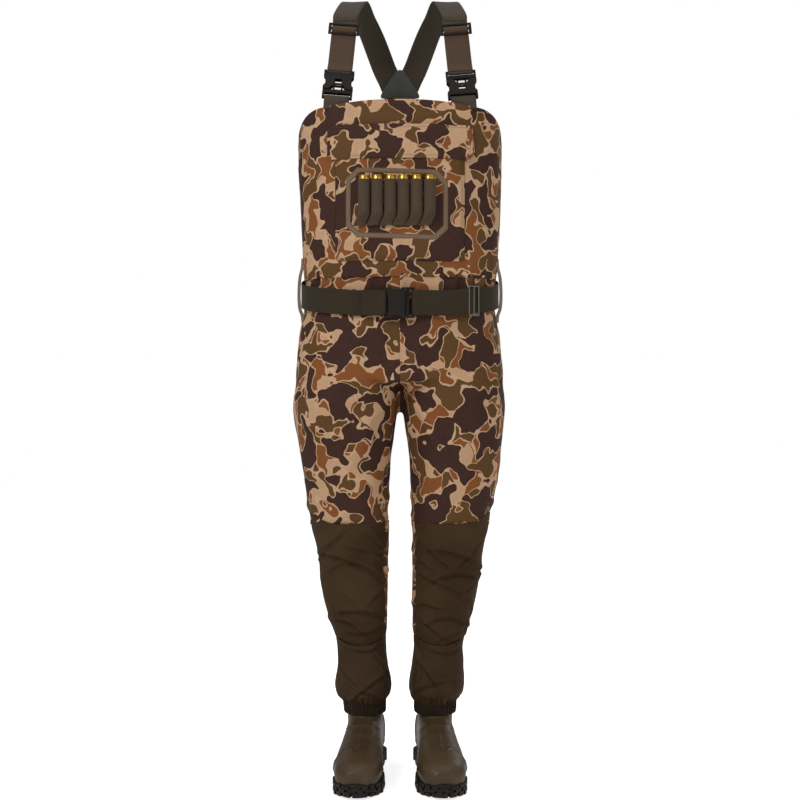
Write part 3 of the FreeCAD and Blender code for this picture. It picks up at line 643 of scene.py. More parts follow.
def bib_y(x, z, offset=0.0):
    """The y of the bib's front at x and z, grown by offset."""
    x, z = np.broadcast_arrays(np.asarray(x, float), np.asarray(z, float))
    half, front, back = profile(TORSO, z.ravel()).T
    half, front, back = half + offset, front - offset, back + offset
    reach = (1 - np.clip(np.abs(x.ravel()) / half, 0, 1) ** TORSO_SQUARE) ** (1 / TORSO_SQUARE)
    return ((front + back) / 2 - (back - front) / 2 * reach).reshape(x.shape)


def make_bib(name, sector, node):
    """The front or back of the bib: a ring's half, from under the waist seam to its top edge."""
    angle = np.linspace(sector, sector + math.pi, 101)
    low_rows, high_rows = 34, 30
    points = []
    for r in range(low_rows):
        z = WAIST_SEAM - 6 + (BIB_FLAT - WAIST_SEAM + 6) * r / low_rows
        x, y = torso_point(angle, np.full(len(angle), z))
        points.append(np.column_stack([x, y, np.full(len(angle), z)]))
    x0, y0 = torso_point(angle, np.full(len(angle), 1300.0))
    front = sector < 0
    top = bib_top(x0, np.full(len(x0), -1.0 if front else 1.0))
    for r in range(high_rows + 1):
        z = BIB_FLAT + (top - BIB_FLAT) * r / high_rows
        x, y = torso_point(angle, z)
        points.append(np.column_stack([x, y, z]))
    points = np.concatenate(points)
    obj = make_object(name, place(points), grid_faces(low_rows + high_rows + 1, len(angle)))
    store_rest(obj, (0, 0, 0) if front else (0.31, 0.2, 0.17))
    p = millimetres(obj)
    height = p[:, 2]
    edge = np.tile(top, low_rows + high_rows + 1) - height
    around = np.arctan2(p[:, 1] / 125, p[:, 0] / 205) * 165
    waist = smooth((1052 - height) / 50)
    folds = ridged(around / 4.6 + 1.6 * noise_at(p, 45, 3)) * 1.7 * waist
    drape = noise_at(p * [1, 1, 0.55], 95, 7) * 2.6 + noise_at(p * [1.2, 1.2, 0.7], 38, 9) * 1.1
    drape *= smooth(edge / 60) * (0.45 + 0.55 * (np.abs(p[:, 0]) > POCKET_HALF + 8))
    hem = 0.5 * (edge < 21) - 0.7 * bump_line(edge - 21, 2.0)
    pull = -1.2 * bump_line(np.abs(p[:, 0]) - 206, 9) * noise_at(p, 16, 5)
    push(obj, folds + drape + hem + pull)
    dress(obj, "camo_cloth", "inner_cloth")
    carry(obj, "torso", node)
    return obj


POCKET_HALF, POCKET_BOTTOM, POCKET_TOP, POCKET_OUT = 128, 1029, 1296, 5.2
FLAP_HALF, FLAP_BOTTOM, FLAP_TOP = 144, 1229, 1297


PANEL_CORNER, PANEL_STEP = 8.0, 3.5


def sheet(name, half, low, high, out, shift, thickness):
    """A panel on the bib's front. out(x, z, inset) is its distance from the bib, inset that from its edge."""
    columns, rows = int(2 * half / PANEL_STEP) + 1, int((high - low) / PANEL_STEP) + 1
    u, v = np.meshgrid(np.linspace(-1, 1, columns), np.linspace(-1, 1, rows))
    mid, tall = (low + high) / 2, (high - low) / 2
    # square corners rounded a little by pulling the rim in
    pull_x = np.clip((np.abs(v) - (1 - PANEL_CORNER / tall)) / (PANEL_CORNER / tall), 0, 1)
    pull_z = np.clip((np.abs(u) - (1 - PANEL_CORNER / half)) / (PANEL_CORNER / half), 0, 1)
    x = u * (half - PANEL_CORNER * (1 - np.sqrt(1 - (pull_x * pull_z) ** 2)) * 0.8)
    z = mid + v * (tall - PANEL_CORNER * (1 - np.sqrt(1 - (pull_x * pull_z) ** 2)) * 0.8)
    inset = np.minimum(half - np.abs(x), tall - np.abs(z - mid))
    y = bib_y(x, z) - out(x, z, inset)
    points = np.column_stack([x.ravel(), y.ravel(), z.ravel()])
    obj = make_object(name, place(points), grid_faces(rows, columns))
    store_rest(obj, shift)
    dress(obj, "camo_cloth", "inner_cloth", thickness, 1)
    return obj


def flat_noise(x, z, scale, seed):
    points = np.column_stack([x.ravel(), z.ravel(), np.full(x.size, seed * 10.0)])
    return noise_at(points, scale, seed).reshape(x.shape)


def pocket_out(x, z, inset):
    """How far the pocket stands off the bib: puffed inside its sewn edge."""
    puff = POCKET_OUT * smooth(inset / 9) + 1.2
    seam = 0.8 * bump_line(inset - 8, 1.6)
    pucker = 0.7 * flat_noise(x, z, 16, 2) * bump_line(inset - 4, 9)
    pucker = pucker + 1.0 * flat_noise(x, z, 60, 4) * smooth(inset / 25)
    return puff - seam + pucker


def flap_out(x, z, inset):
    """How far the flap stands off the bib: over the pocket, with a wavy lower edge."""
    rise = 6.9 + 1.6 * smooth((FLAP_TOP - z) / 60)
    seam = 0.5 * bump_line(inset - 7, 1.4)
    wave = 0.9 * flat_noise(x, z, 55, 6) * smooth((FLAP_TOP - z) / 40) + 0.35 * flat_noise(x, z, 14, 8)
    return rise - seam + wave


def front_line(points, out):
    """A polyline of (x, z) laid on the bib's front at a distance from it, with its normals."""
    path = through([(x, z, 0) for x, z in points], 3.0) if len(points) > 2 else None
    if path is None:
        (x0, z0), (x1, z1) = points
        count = int(math.hypot(x1 - x0, z1 - z0) / 3) + 2
        path = np.column_stack([np.linspace(x0, x1, count), np.linspace(z0, z1, count), np.zeros(count)])
    x, z = path[:, 0], path[:, 1]
    y = bib_y(x, z) - out
    slope = (bib_y(x + 1, z) - bib_y(x - 1, z)) / 2
    return np.column_stack([x, y, z]), np.column_stack([slope, -np.ones(len(x)), np.zeros(len(x))])


def make_chest():
    """The bib, the chest pocket with its flap, and their stitches."""
    make_bib("bib_front_cloth", -math.pi, "bib_front")
    make_bib("bib_back_cloth", 0.0, "bib_back")
    pocket = sheet("chest_pocket_cloth", POCKET_HALF, POCKET_BOTTOM, POCKET_TOP, pocket_out,
                   (0.62, 0.41, 0.05), 1.5)
    carry(pocket, "torso", "chest_pocket")
    flap = sheet("pocket_flap_cloth", FLAP_HALF, FLAP_BOTTOM, FLAP_TOP, flap_out, (0.93, 0.11, 0.52), 1.6)
    carry(flap, "pocket_flap", "pocket_flap")
    for row, z in enumerate((FLAP_TOP - 5, FLAP_BOTTOM + 6)):
        path, ways = front_line([(-FLAP_HALF + 5, z), (FLAP_HALF - 5, z)], 7.6 + row * 1.5)
        stitch_line(f"flap_stitch_{row}", path, ways, "pocket_flap")
    for row, x in enumerate((-FLAP_HALF + 5, FLAP_HALF - 5)):
        path, ways = front_line([(x, FLAP_BOTTOM + 7), (x, FLAP_TOP - 6)], 8.7)
        stitch_line(f"flap_side_stitch_{row}", path, ways, "pocket_flap")
    x, low, high = POCKET_HALF - 5.5, POCKET_BOTTOM + 5.5, FLAP_BOTTOM - 3
    for row, (a, b) in enumerate((((-x, low), (x, low)), ((-x, low), (-x, high)), ((x, low), (x, high)))):
        path, ways = front_line([a, b], 4.9)
        stitch_line(f"pocket_stitch_{row}", path, ways, "torso")


FRAME_X, FRAME_HALF, FRAME_BOTTOM, FRAME_TOP, FRAME_BAR, FRAME_CHAMFER = -6, 100.5, 1072, 1209, 10, 22
FRAME_SLOPE = -0.03


def octagon(half, low, high, chamfer):
    corners = [(-half + chamfer, low), (half - chamfer, low), (half, low + chamfer), (half, high - chamfer),
               (half - chamfer, high), (-half + chamfer, high), (-half, high - chamfer),
               (-half, low + chamfer)]
    return np.array([(FRAME_X + x, z + FRAME_SLOPE * x) for x, z in corners])


def make_frame():
    """The octagon of tape round the shell loops, with mitred corners and two rows of stitches."""
    outer = octagon(FRAME_HALF, FRAME_BOTTOM, FRAME_TOP, FRAME_CHAMFER)
    inner = octagon(FRAME_HALF - FRAME_BAR, FRAME_BOTTOM + FRAME_BAR, FRAME_TOP - FRAME_BAR,
                    FRAME_CHAMFER - FRAME_BAR * 0.4)
    across = [(0.0, 0.0), (0.07, 1.0), (0.3, 1.35), (0.5, 1.4), (0.7, 1.35), (0.93, 1.0), (1.0, 0.0)]
    points, weave, run = [], [], 0.0
    for i in range(8):
        j = (i + 1) % 8
        steps = max(2, int(np.linalg.norm(outer[j] - outer[i]) / 5))
        for t in np.arange(steps) / steps:
            o, n = outer[i] + (outer[j] - outer[i]) * t, inner[i] + (inner[j] - inner[i]) * t
            for share, lift in across:
                x, z = o + (n - o) * share
                points.append((x, float(bib_y(x, z)) - POCKET_OUT - 1.2 - lift, z))
                weave.append((share * FRAME_BAR / 1000, run / 1000))
            run += np.linalg.norm(outer[j] - outer[i]) / steps
    k = len(across)
    rings = len(points) // k
    faces = [(r * k + c, ((r + 1) % rings) * k + c, ((r + 1) % rings) * k + c + 1, r * k + c + 1)
             for r in range(rings) for c in range(k - 1)]
    obj = make_object("loop_frame_tape", place(points), faces, MATERIALS["taupe_trim"])
    set_weave(obj, weave)
    add_modifier(obj, "SOLIDIFY", thickness=0.0006, offset=-1.0)
    carry(obj, "torso", "loop_frame")
    for row, share in enumerate((0.17, 0.83)):
        line = outer + (inner - outer) * share
        for i in range(8):
            path, ways = front_line([tuple(line[i]), tuple(line[(i + 1) % 8])], POCKET_OUT + 2.45)
            stitch_line(f"frame_stitch_{row}_{i}", path, ways, "torso", "brown_thread", 3.6, 2.5, 0.3)


LOOP_COUNT, LOOP_PITCH, LOOP_BOTTOM, LOOP_TOP, LOOP_R, LOOP_STAND = 6, 25.6, 1100, 1185, 12.3, 2.4
SHELL_TOP, SHELL_LENGTH = 1193, 70


def loop_centre(i):
    """The axis of a shell loop, and the y of the cloth behind it."""
    x = FRAME_X + (i - (LOOP_COUNT - 1) / 2) * LOOP_PITCH
    face = min(float(bib_y(px, z, 5.4)) for px in (x - 5, x + 5) for z in (LOOP_BOTTOM, LOOP_TOP))
    return x, face - LOOP_STAND - LOOP_R, face


LATHE_COUNT = 32


def lathe(name, outline, centre, material):
    """A turned shape: outline is (radius, height) from the bottom up."""
    angle = np.arange(LATHE_COUNT) * 2 * math.pi / LATHE_COUNT
    points = [(centre[0] + r * math.cos(a), centre[1] + r * math.sin(a), z) for r,
              z in outline for a in angle]
    faces = solid_faces(len(outline), LATHE_COUNT, flip=True)
    obj = make_object(name, place(points), faces, MATERIALS[material])
    add_modifier(obj, "BEVEL", width=0.0002, segments=1, limit_method="ANGLE", angle_limit=0.6)
    return obj


def make_loops():
    """Six elastic loops with gathered feet, and the shells that they hold."""
    columns, rows = 40, 30
    points, weave, faces = [], [], []
    for i in range(LOOP_COUNT):
        x0, y0, face = loop_centre(i)
        start = len(points)
        for r in range(rows + 1):
            v = r / rows
            z = LOOP_BOTTOM - 3 + (LOOP_TOP - LOOP_BOTTOM + 3) * v
            pinch = 1 - smooth((z - LOOP_BOTTOM + 3) / 27)
            flare = 1 - smooth((z - LOOP_BOTTOM + 3) / 9)
            half = LOOP_R - 0.3 + 0.5 * pinch
            depth = (LOOP_R - 0.3) * (1 - pinch) + 2.0 * pinch
            y = y0 * (1 - pinch) + (face - 2.6) * pinch
            skew = -8.5 * pinch ** 1.3
            for c in range(columns):
                a = 2 * math.pi * c / columns
                gather = 1 + 0.05 * pinch * math.sin(7 * a + i)
                crease = math.cos(a) + 0.95 - 1.1 * (1 - pinch)
                fold = 2.6 * pinch * math.exp(-(crease / 0.22) ** 2) * (math.sin(a) < 0)
                slant = 1.0 * pinch * math.cos(a) + 0.8 * flare * math.sin(5 * a + i)
                points.append((x0 + skew + half * gather * math.cos(a), y + depth * math.sin(a) - fold,
                               z + slant))
                weave.append((a * LOOP_R / 1000 + i * 0.1, z / 1000))
        faces += [tuple(start + k for k in face) for face in grid_faces(rows + 1, columns, closed=True)]
    obj = make_object("shell_loop_bands", place(points), faces, MATERIALS["loop_elastic"])
    set_weave(obj, weave)
    add_modifier(obj, "SOLIDIFY", thickness=0.0010, offset=-1.0)
    add_modifier(obj, "SUBSURF", levels=1, render_levels=1)
    carry(obj, "torso", "shell_loops")
    for i in range(LOOP_COUNT):
        x0, y0, face = loop_centre(i)
        top = SHELL_TOP
        brass = [(10.1, top - 18), (10.25, top - 17.6), (10.25, top - 2.2), (9.8, top - 1.9),
                 (9.8, top - 1.6),
                 (11.0, top - 1.5), (11.1, top - 0.3), (10.8, top), (3.6, top), (3.5, top - 0.25),
                 (3.1, top - 0.3),
                 (3.0, top - 0.1), (1.0, top - 0.25)]
        hull = [(8.6, top - SHELL_LENGTH), (9.7, top - SHELL_LENGTH + 1.2), (9.95, top - SHELL_LENGTH + 3),
                (9.95, top - 40), (9.95, top - 17.5)]
        for part, outline, material in (("brass", brass, "shell_brass"), ("hull", hull, "hull_plastic")):
            piece = lathe(f"shotshell_{part}_{i + 1}", outline, (x0, y0), material)
            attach(piece, f"shotshell_{i + 1}")
            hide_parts(f"shotshell_{i + 1}")


# ---- trousers, guards and gaiters ----------------------------------------------------------------
def trouser_folds(p):
    """How far the trousers' cloth stands in or out, in millimetres."""
    x, y, z = p.T
    around = np.arctan2(y / 122, x / 200) * 160
    gather = smooth((z - 905) / 75)
    amount = ridged(around / 4.4 + 2.6 * noise_at(p * [1, 1, 0.35], 60, 1)) * 3.8 * gather
    amount += noise_at(p * [1, 1, 0.45], 70, 2) * 4.5 * (1 - 0.4 * gather)
    amount += noise_at(p * [1.3, 1.3, 0.8], 30, 4) * 1.6
    for y0, turn in ((-1, 2.0), (1, 5.0)):
        near = np.hypot(x, z - 772)
        fan = np.arctan2(z - 772, x)
        face = smooth((y * y0 - 25) / 60)
        rays = ridged(fan * 9 + turn + 2.0 * noise_at(p, 80, 5 + y0))
        amount += rays * 3.4 * face * np.exp(-((near - 95) / 80) ** 2)
    seam = bump_line(x, 3.2) * (z > 790)
    amount -= 1.8 * seam - 0.8 * bump_line(np.abs(x) - 7, 3.5) * (z > 790)
    pucker = noise_at(p, 13, 8) * 1.1 * bump_line(x, 16) * (z > 780)
    amount += pucker
    side = np.abs(y - 4)
    amount -= 1.6 * bump_line(side, 3.0) * (np.abs(x) > 150) - noise_at(p, 12, 11) * bump_line(side, 18)
    amount += 3.0 * noise_at(p * [1, 1, 0.8], 52, 14) * smooth((840 - z) / 60)
    droop = smooth((620 - z) / 90)
    amount += ridged((z + 0.35 * np.abs(x) + 14 * noise_at(p, 70, 12)) / 7.5) * 2.2 * droop
    return amount


def make_trousers():
    """Both legs and the seat as one skin with its folds, cut into a piece for each leg."""
    torso_rows = np.arange(WAIST_SEAM + 16, 786, -6.0)
    leg_rows = np.arange(850, KNEE_SEAM - 18, -6.0)
    forms = [tube(TORSO, TORSO_SQUARE, torso_rows, 200)]
    forms += [tube(LEG, LEG_SQUARE, leg_rows, 120, sign) for sign in (-1, 1)]
    skin = fused("trousers", forms, 0.006)
    p = millimetres(skin)
    crotch = np.exp(-((p[:, 2] - 776) / 24) ** 2 - (p[:, 0] / 60) ** 2)
    hip = 0.7 * np.exp(-((p[:, 2] - 800) / 22) ** 2) * smooth((p[:, 2] - 772) / 16)
    relax(skin, np.maximum(crotch, hip), 30)
    store_rest(skin, (0.23, 0.11, 0.37))
    push(skin, trouser_folds(millimetres(skin)))
    cut_away(skin, (0, 0, WAIST_SEAM), (0, 0, 1))
    cut_away(skin, (0, 0, KNEE_SEAM - 6), (0, 0, -1))
    for side, sign in SIDES.items():
        leg = copy_of(skin, f"trousers_{side}_cloth")
        cut_away(leg, (0, 0, 0), (-sign, 0, 0))
        if sign > 0:
            # the left leg is cut from another stretch of the print
            store = leg.data.attributes["weave"].data
            flat = np.zeros(len(store) * 3, np.float32)
            store.foreach_get("vector", flat)
            flat = flat.reshape(-1, 3) + np.array([0.35, -0.21, 0.12], np.float32)
            store.foreach_set("vector", flat.ravel())
        leg.data.polygons.foreach_set("use_smooth", [True] * len(leg.data.polygons))
        dress(leg, "camo_cloth", "inner_cloth")
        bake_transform(leg)
        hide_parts(f"seat_{side}", f"hip_gusset_{side}", f"thigh_panel_{side}")
    drop(skin)


def leg_tube(name, stations, heights, count, sign, edge=None):
    """An open tube on one leg as a grid. edge(angle, part) may shift the height of a point."""
    rows = profile(stations, heights)
    angle = np.arange(count) * 2 * math.pi / count
    points = []
    for k, (z, row) in enumerate(zip(heights, rows)):
        x, y = oval(angle, *row[1:], LEG_SQUARE)
        level = np.full(count, z)
        if edge:
            level = level + edge(angle, k / (len(heights) - 1))
        points.append(np.column_stack([sign * (row[0] + x), y, level]))
    faces = grid_faces(len(heights), count, closed=True)
    if sign > 0:
        faces = [f[::-1] for f in faces]
    return make_object(name, place(np.concatenate(points)), faces)


GUARD = [(530, 105.5, 84, -91, 81), (507, 104, 81.5, -87.5, 77.5), (480, 101.5, 77, -82.5, 72),
         (450, 98, 73, -79, 67.5), (418, 96, 70.5, -75, 66.5), (383, 94, 68.5, -71, 68),
         (350, 91, 66, -68, 68.5),
         (321, 88, 62.5, -65.5, 68.5), (295, 84.5, 57.5, -60.5, 64.5), (274, 81.8, 51.0, -54, 58),
         (254, 80.2, 47.5, -50.5, 54.5)]
GAITER = [(276, 81.3, 52.5, -55.5, 59.5), (262, 80.2, 51.5, -54.5, 58.5), (245, 78.8, 50.5, -54, 57.5),
          (222, 77.5, 51.5, -56, 58),
          (202, 76.3, 53.5, -58.5, 60), (183, 75.5, 57, -62, 62.5), (166, 75, 57.5, -62.5, 62),
          (152, 74.5, 54, -58.5, 59.5),
          (141, 73.5, 46.5, -50.5, 54), (136, 73, 43.5, -48, 52.5)]
HEM = [(141, 73, 44.0, -48, 52.6), (132, 72.5, 42.2, -46.6, 51.6), (114, 72.3, 42.6, -47.2, 52)]
# creases of the knee guards: place on the front in degrees and in height, half length, tilt, bow, and depth
CREASES = {
    "right": ((6, 432, 74, 0.42, 0.0042, 3.8), (34, 462, 46, -0.9, -0.002, 2.6),
              (-44, 470, 40, 0.9, 0.0, 1.8),
              (26, 420, 34, -0.5, 0.006, 2.6), (-30, 448, 42, 0.15, -0.004, 2.2),
              (-6, 330, 62, 0.05, 0.0055, 3.4),
              (30, 306, 50, 0.2, 0.009, 3.4), (24, 372, 58, 0.95, 0.0, 1.6), (-54, 372, 34, -0.9, 0.0, 2.0),
              (-10, 284, 52, -0.2, -0.003, 2.4), (48, 350, 30, 1.2, 0.0, 1.8),
              (-58, 418, 30, 0.9, 0.004, 2.2)),
    "left": ((-34, 452, 52, -0.95, 0.0, 2.8), (14, 446, 62, -0.35, 0.0045, 3.4), (46, 456, 36, 1.3, 0.0, 2.4),
             (14, 404, 66, 0.12, 0.006, 3.6), (-20, 388, 54, -0.42, 0.0, 2.6),
             (-40, 340, 48, -0.1, 0.006, 3.0),
             (16, 312, 60, -0.12, 0.008, 3.4), (44, 346, 34, -1.0, 0.004, 2.4),
             (-30, 300, 40, -0.7, 0.0, 2.6),
             (50, 384, 34, 0.8, -0.006, 2.0), (-56, 430, 34, -0.6, 0.0, 2.0),
             (30, 284, 40, 0.35, 0.004, 2.4)),
}

GAITER_CREASES = {
    "right": ((-10, 246, 40, -0.1, -0.006, 2.0), (30, 196, 44, 0.75, 0.0, 2.6),
              (-20, 182, 46, -0.6, 0.004, 2.8),
              (8, 170, 40, 0.5, 0.0, 2.4), (-52, 214, 30, 1.2, 0.0, 1.8)),
    "left": ((18, 243, 40, 0.12, -0.006, 2.0), (-34, 214, 40, -1.0, 0.004, 3.0),
             (-14, 178, 46, 0.3, 0.005, 2.6),
             (34, 186, 36, -0.5, 0.0, 2.0), (-56, 236, 26, -1.4, 0.0, 2.2)),
}


def leg_angle(p, stations, sign):
    """Each point's angle round its own leg: 0 outwards, -90 degrees in front and 90 behind."""
    rows = profile(stations, p[:, 2])
    return np.arctan2(p[:, 1] - (rows[:, 2] + rows[:, 3]) / 2, (p[:, 0] - sign * rows[:, 0]) * sign)


def creases(table, p, angle, wobble, gain, ridge, valley):
    """Pulls across the front, each a soft ridge (place, width) above a sharper valley (share, width)."""
    across = (np.degrees(angle + math.pi / 2) + 180) % 360 - 180
    amount = 0
    for middle, height, long, tilt, bow, depth in table:
        along = across - middle
        d = p[:, 2] - height - tilt * along + bow * along**2 + wobble
        reach = smooth(1.35 - np.abs(along) / long)
        fold = bump_line(d - ridge[0], ridge[1]) - valley[0] * bump_line(d + 3.0, valley[1])
        amount = amount + gain * depth * reach * fold
    return amount


def knee_folds(p, angle, side):
    """Creases of the knee guard: a few broad pulls, each with a soft ridge above a sharper valley."""
    z = p[:, 2]
    amount = noise_at(p * [1, 1, 0.7], 62, 21) * 3.0 + noise_at(p, 30, 22) * 1.3 + noise_at(p, 14, 27) * 0.35
    amount += creases(CREASES[side], p, angle, 7 * noise_at(p, 48, 23), 1.7, (6.0, 7.5), (1.1, 4.2))
    front = np.cos(angle + math.pi / 2)
    back = smooth((0.1 - front) / 0.4)
    amount += ridged((z + 8 * noise_at(p, 50, 40)) / 5.2) * 2.2 * back * np.exp(-((z - 450) / 50) ** 2)
    blouse = smooth((300 - z) / 16) * smooth((z - 262) / 14)
    amount += (2.0 + 2.4 * noise_at(p, 26, 44)) * blouse
    return amount


def scoop(angle, part):
    """The knee guard's top edge rises on the outside of the leg."""
    high = 17 * smooth((np.cos(angle) - 0.35) / 0.6) - 1.5
    return high * (1 - smooth(part / 0.12))


def smile(angle, part):
    """The gaiter's top edge hangs lower in the middle of the front and the back."""
    return (14 * np.abs(np.cos(angle)) ** 2 - 14) * (1 - smooth(part / 0.3))


GUARD_TOP, GUARD_LOW, GUARD_ROWS, GUARD_COLUMNS = 508, 248, 84, 152
GAITER_TOP, GAITER_LOW, HEM_TOP, HEM_LOW = 272, 136, 141, 114
# the camouflage strip at the inner back of the lower leg: middle, half width, and lowest point
STRIP_MIDDLE, STRIP_HALF, STRIP_LOW = math.radians(134), math.radians(74), 284


def make_lower_legs():
    """The knee guards, the gaiters and their elastic hems."""
    for side, sign in SIDES.items():
        heights = np.linspace(GUARD_TOP, GUARD_LOW, GUARD_ROWS)
        guard = leg_tube(f"knee_guard_{side}_cloth", GUARD, heights, GUARD_COLUMNS, sign, scoop)
        store_rest(guard, (0.3 * sign, 0.4, 0.2))
        p = millimetres(guard)
        angle = leg_angle(p, GUARD, sign)
        edge = np.minimum(np.repeat(np.arange(GUARD_ROWS), GUARD_COLUMNS) * 3.06, 40)
        calm = smooth(edge / 26) * 0.8 + 0.2
        push(guard, knee_folds(p, angle, side) * calm - 0.6 * bump_line(edge - 4, 1.5))
        dress(guard, "guard_cloth", "inner_cloth", 2.6)
        guard.data.materials.append(MATERIALS["camo_cloth"])
        for polygon in guard.data.polygons:
            turn = np.angle(np.exp(1j * (angle[list(polygon.vertices)] - STRIP_MIDDLE)).mean())
            if abs(turn) < STRIP_HALF and p[polygon.vertices[0], 2] > STRIP_LOW:
                polygon.material_index = 2
        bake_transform(guard)
        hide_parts(f"knee_guard_{side}", f"shin_guard_{side}")

        gaiter = leg_tube(f"gaiter_{side}_cloth", GAITER,
                          np.linspace(GAITER_TOP, GAITER_LOW, 58), 200, sign, smile)
        store_rest(gaiter, (0.5 * sign, 0.1, 0.6))
        p = millimetres(gaiter)
        angle = leg_angle(p, GAITER, sign)
        z = p[:, 2]
        low = smooth((158 - z) / 16)
        folds = ridged(angle * 30 + 4 * noise_at(p * [1, 1, 0.3], 22, 51)) * 2.1 * low
        folds += noise_at(p * [1, 1, 0.25], 13, 56) * 2.2 * smooth((172 - z) / 20)
        folds += noise_at(p * [1, 1, 0.7], 45, 53) * 2.8 * smooth((262 - z) / 24)
        folds += noise_at(p, 20, 54) * 0.8
        folds += creases(GAITER_CREASES[side], p, angle, 5 * noise_at(p, 40, 57), 1.5, (5.5, 6.5), (1.0, 4.0))
        inner = np.angle(np.exp(1j * (angle - math.radians(-128))))
        folds -= 1.3 * bump_line(inner * 52, 1.8)
        push(gaiter, folds)
        dress(gaiter, "gaiter_cloth", "inner_cloth", 2.2)
        carry(gaiter, f"shin_{side}", f"gaiter_{side}")

        hem = leg_tube(f"elastic_hem_{side}_band", HEM, np.linspace(HEM_TOP, HEM_LOW, 14), 300, sign)
        p = millimetres(hem)
        angle = leg_angle(p, HEM, sign)
        roll = 1.8 * np.sin(np.clip((p[:, 2] - HEM_LOW) / (HEM_TOP - HEM_LOW), 0, 1) * math.pi)
        pleats = ridged(angle * 42 + 5 * noise_at(p * [1, 1, 0.3], 20, 61))
        pleats = pleats * (1.5 + 0.8 * noise_at(p, 24, 62))
        push(hem, pleats + roll)
        set_weave(hem, np.column_stack([angle * 0.048, p[:, 2] / 1000]))
        dress(hem, "brown_elastic", "brown_elastic", 2.4)
        carry(hem, f"shin_{side}", f"elastic_hem_{side}")


# ---- suspenders ----------------------------------------------------------------------------------
WEB, WEB_T = 50, 2.2
STRAP_FOOT, STRAP_HEAD = np.array([-128.0, -107, 1330]), np.array([-113.0, -60, 1500])
BUCKLE_T, GLIDE_T, STRAIGHT_T, BUCKLE_MIDDLE = 55, 180, 200, 6.5
PLUG_BAR, SOCKET_BAR = 34.8, -22.25
YOKE_Y, YOKE_TOP, YOKE_BOTTOM, YOKE_HALF, STRAP_LAYER = 118, 1466, 1404, 41, 1.3
SHOULDER_ROUTE = [(-92, -6, 1574), (-77, 38, 1557), (-59, 78, 1525), (-44, 106, 1492), (-33, YOKE_Y, 1466),
                  (-22, YOKE_Y, 1443), (-9, YOKE_Y, 1412)]
SHOULDER_TURN = [(0.0, 1, 0, 0), (0.18, 1, 0, 0), (0.42, 0.93, -0.36, 0), (0.66, 0.93, -0.2, 0.3),
                 (0.8, 0.92, 0, 0.4),
                 (1.0, 0.92, 0, 0.4)]
ALONG = (STRAP_HEAD - STRAP_FOOT) / np.linalg.norm(STRAP_HEAD - STRAP_FOOT)
ACROSS = np.array([1.0, 0, 0]) - ALONG * ALONG[0]
ACROSS = ACROSS / np.linalg.norm(ACROSS)
OUT = np.cross(ACROSS, ALONG)
OUT = OUT if OUT[1] < 0 else -OUT


def strap_point(t, out=0.0):
    return STRAP_FOOT + ALONG * t + OUT * out


def mirrored(sections, sign):
    """Sections drawn on the wearer's right, moved to the side given by sign."""
    if sign < 0:
        return sections
    flip = np.array([-1, 1, 1])
    return [(c * flip, a * flip, n * flip) for c, a, n in sections]


def bend(path, across):
    """Sections along a path of (t, out) in the plane of a suspender's straight run."""
    path = np.asarray(path, float)
    steps = np.gradient(path, axis=0)
    sections = []
    for (t, out), (dt, dout) in zip(path, steps):
        normal = OUT * dt - ALONG * dout
        sections.append((strap_point(t, out), across, normal / np.linalg.norm(normal)))
    return sections


def frame_point(point, sign):
    """A point drawn on the wearer's right, as a place in the frame on the side given by sign."""
    return tuple(place([np.asarray(point) * np.array([-sign, 1, 1])])[0])


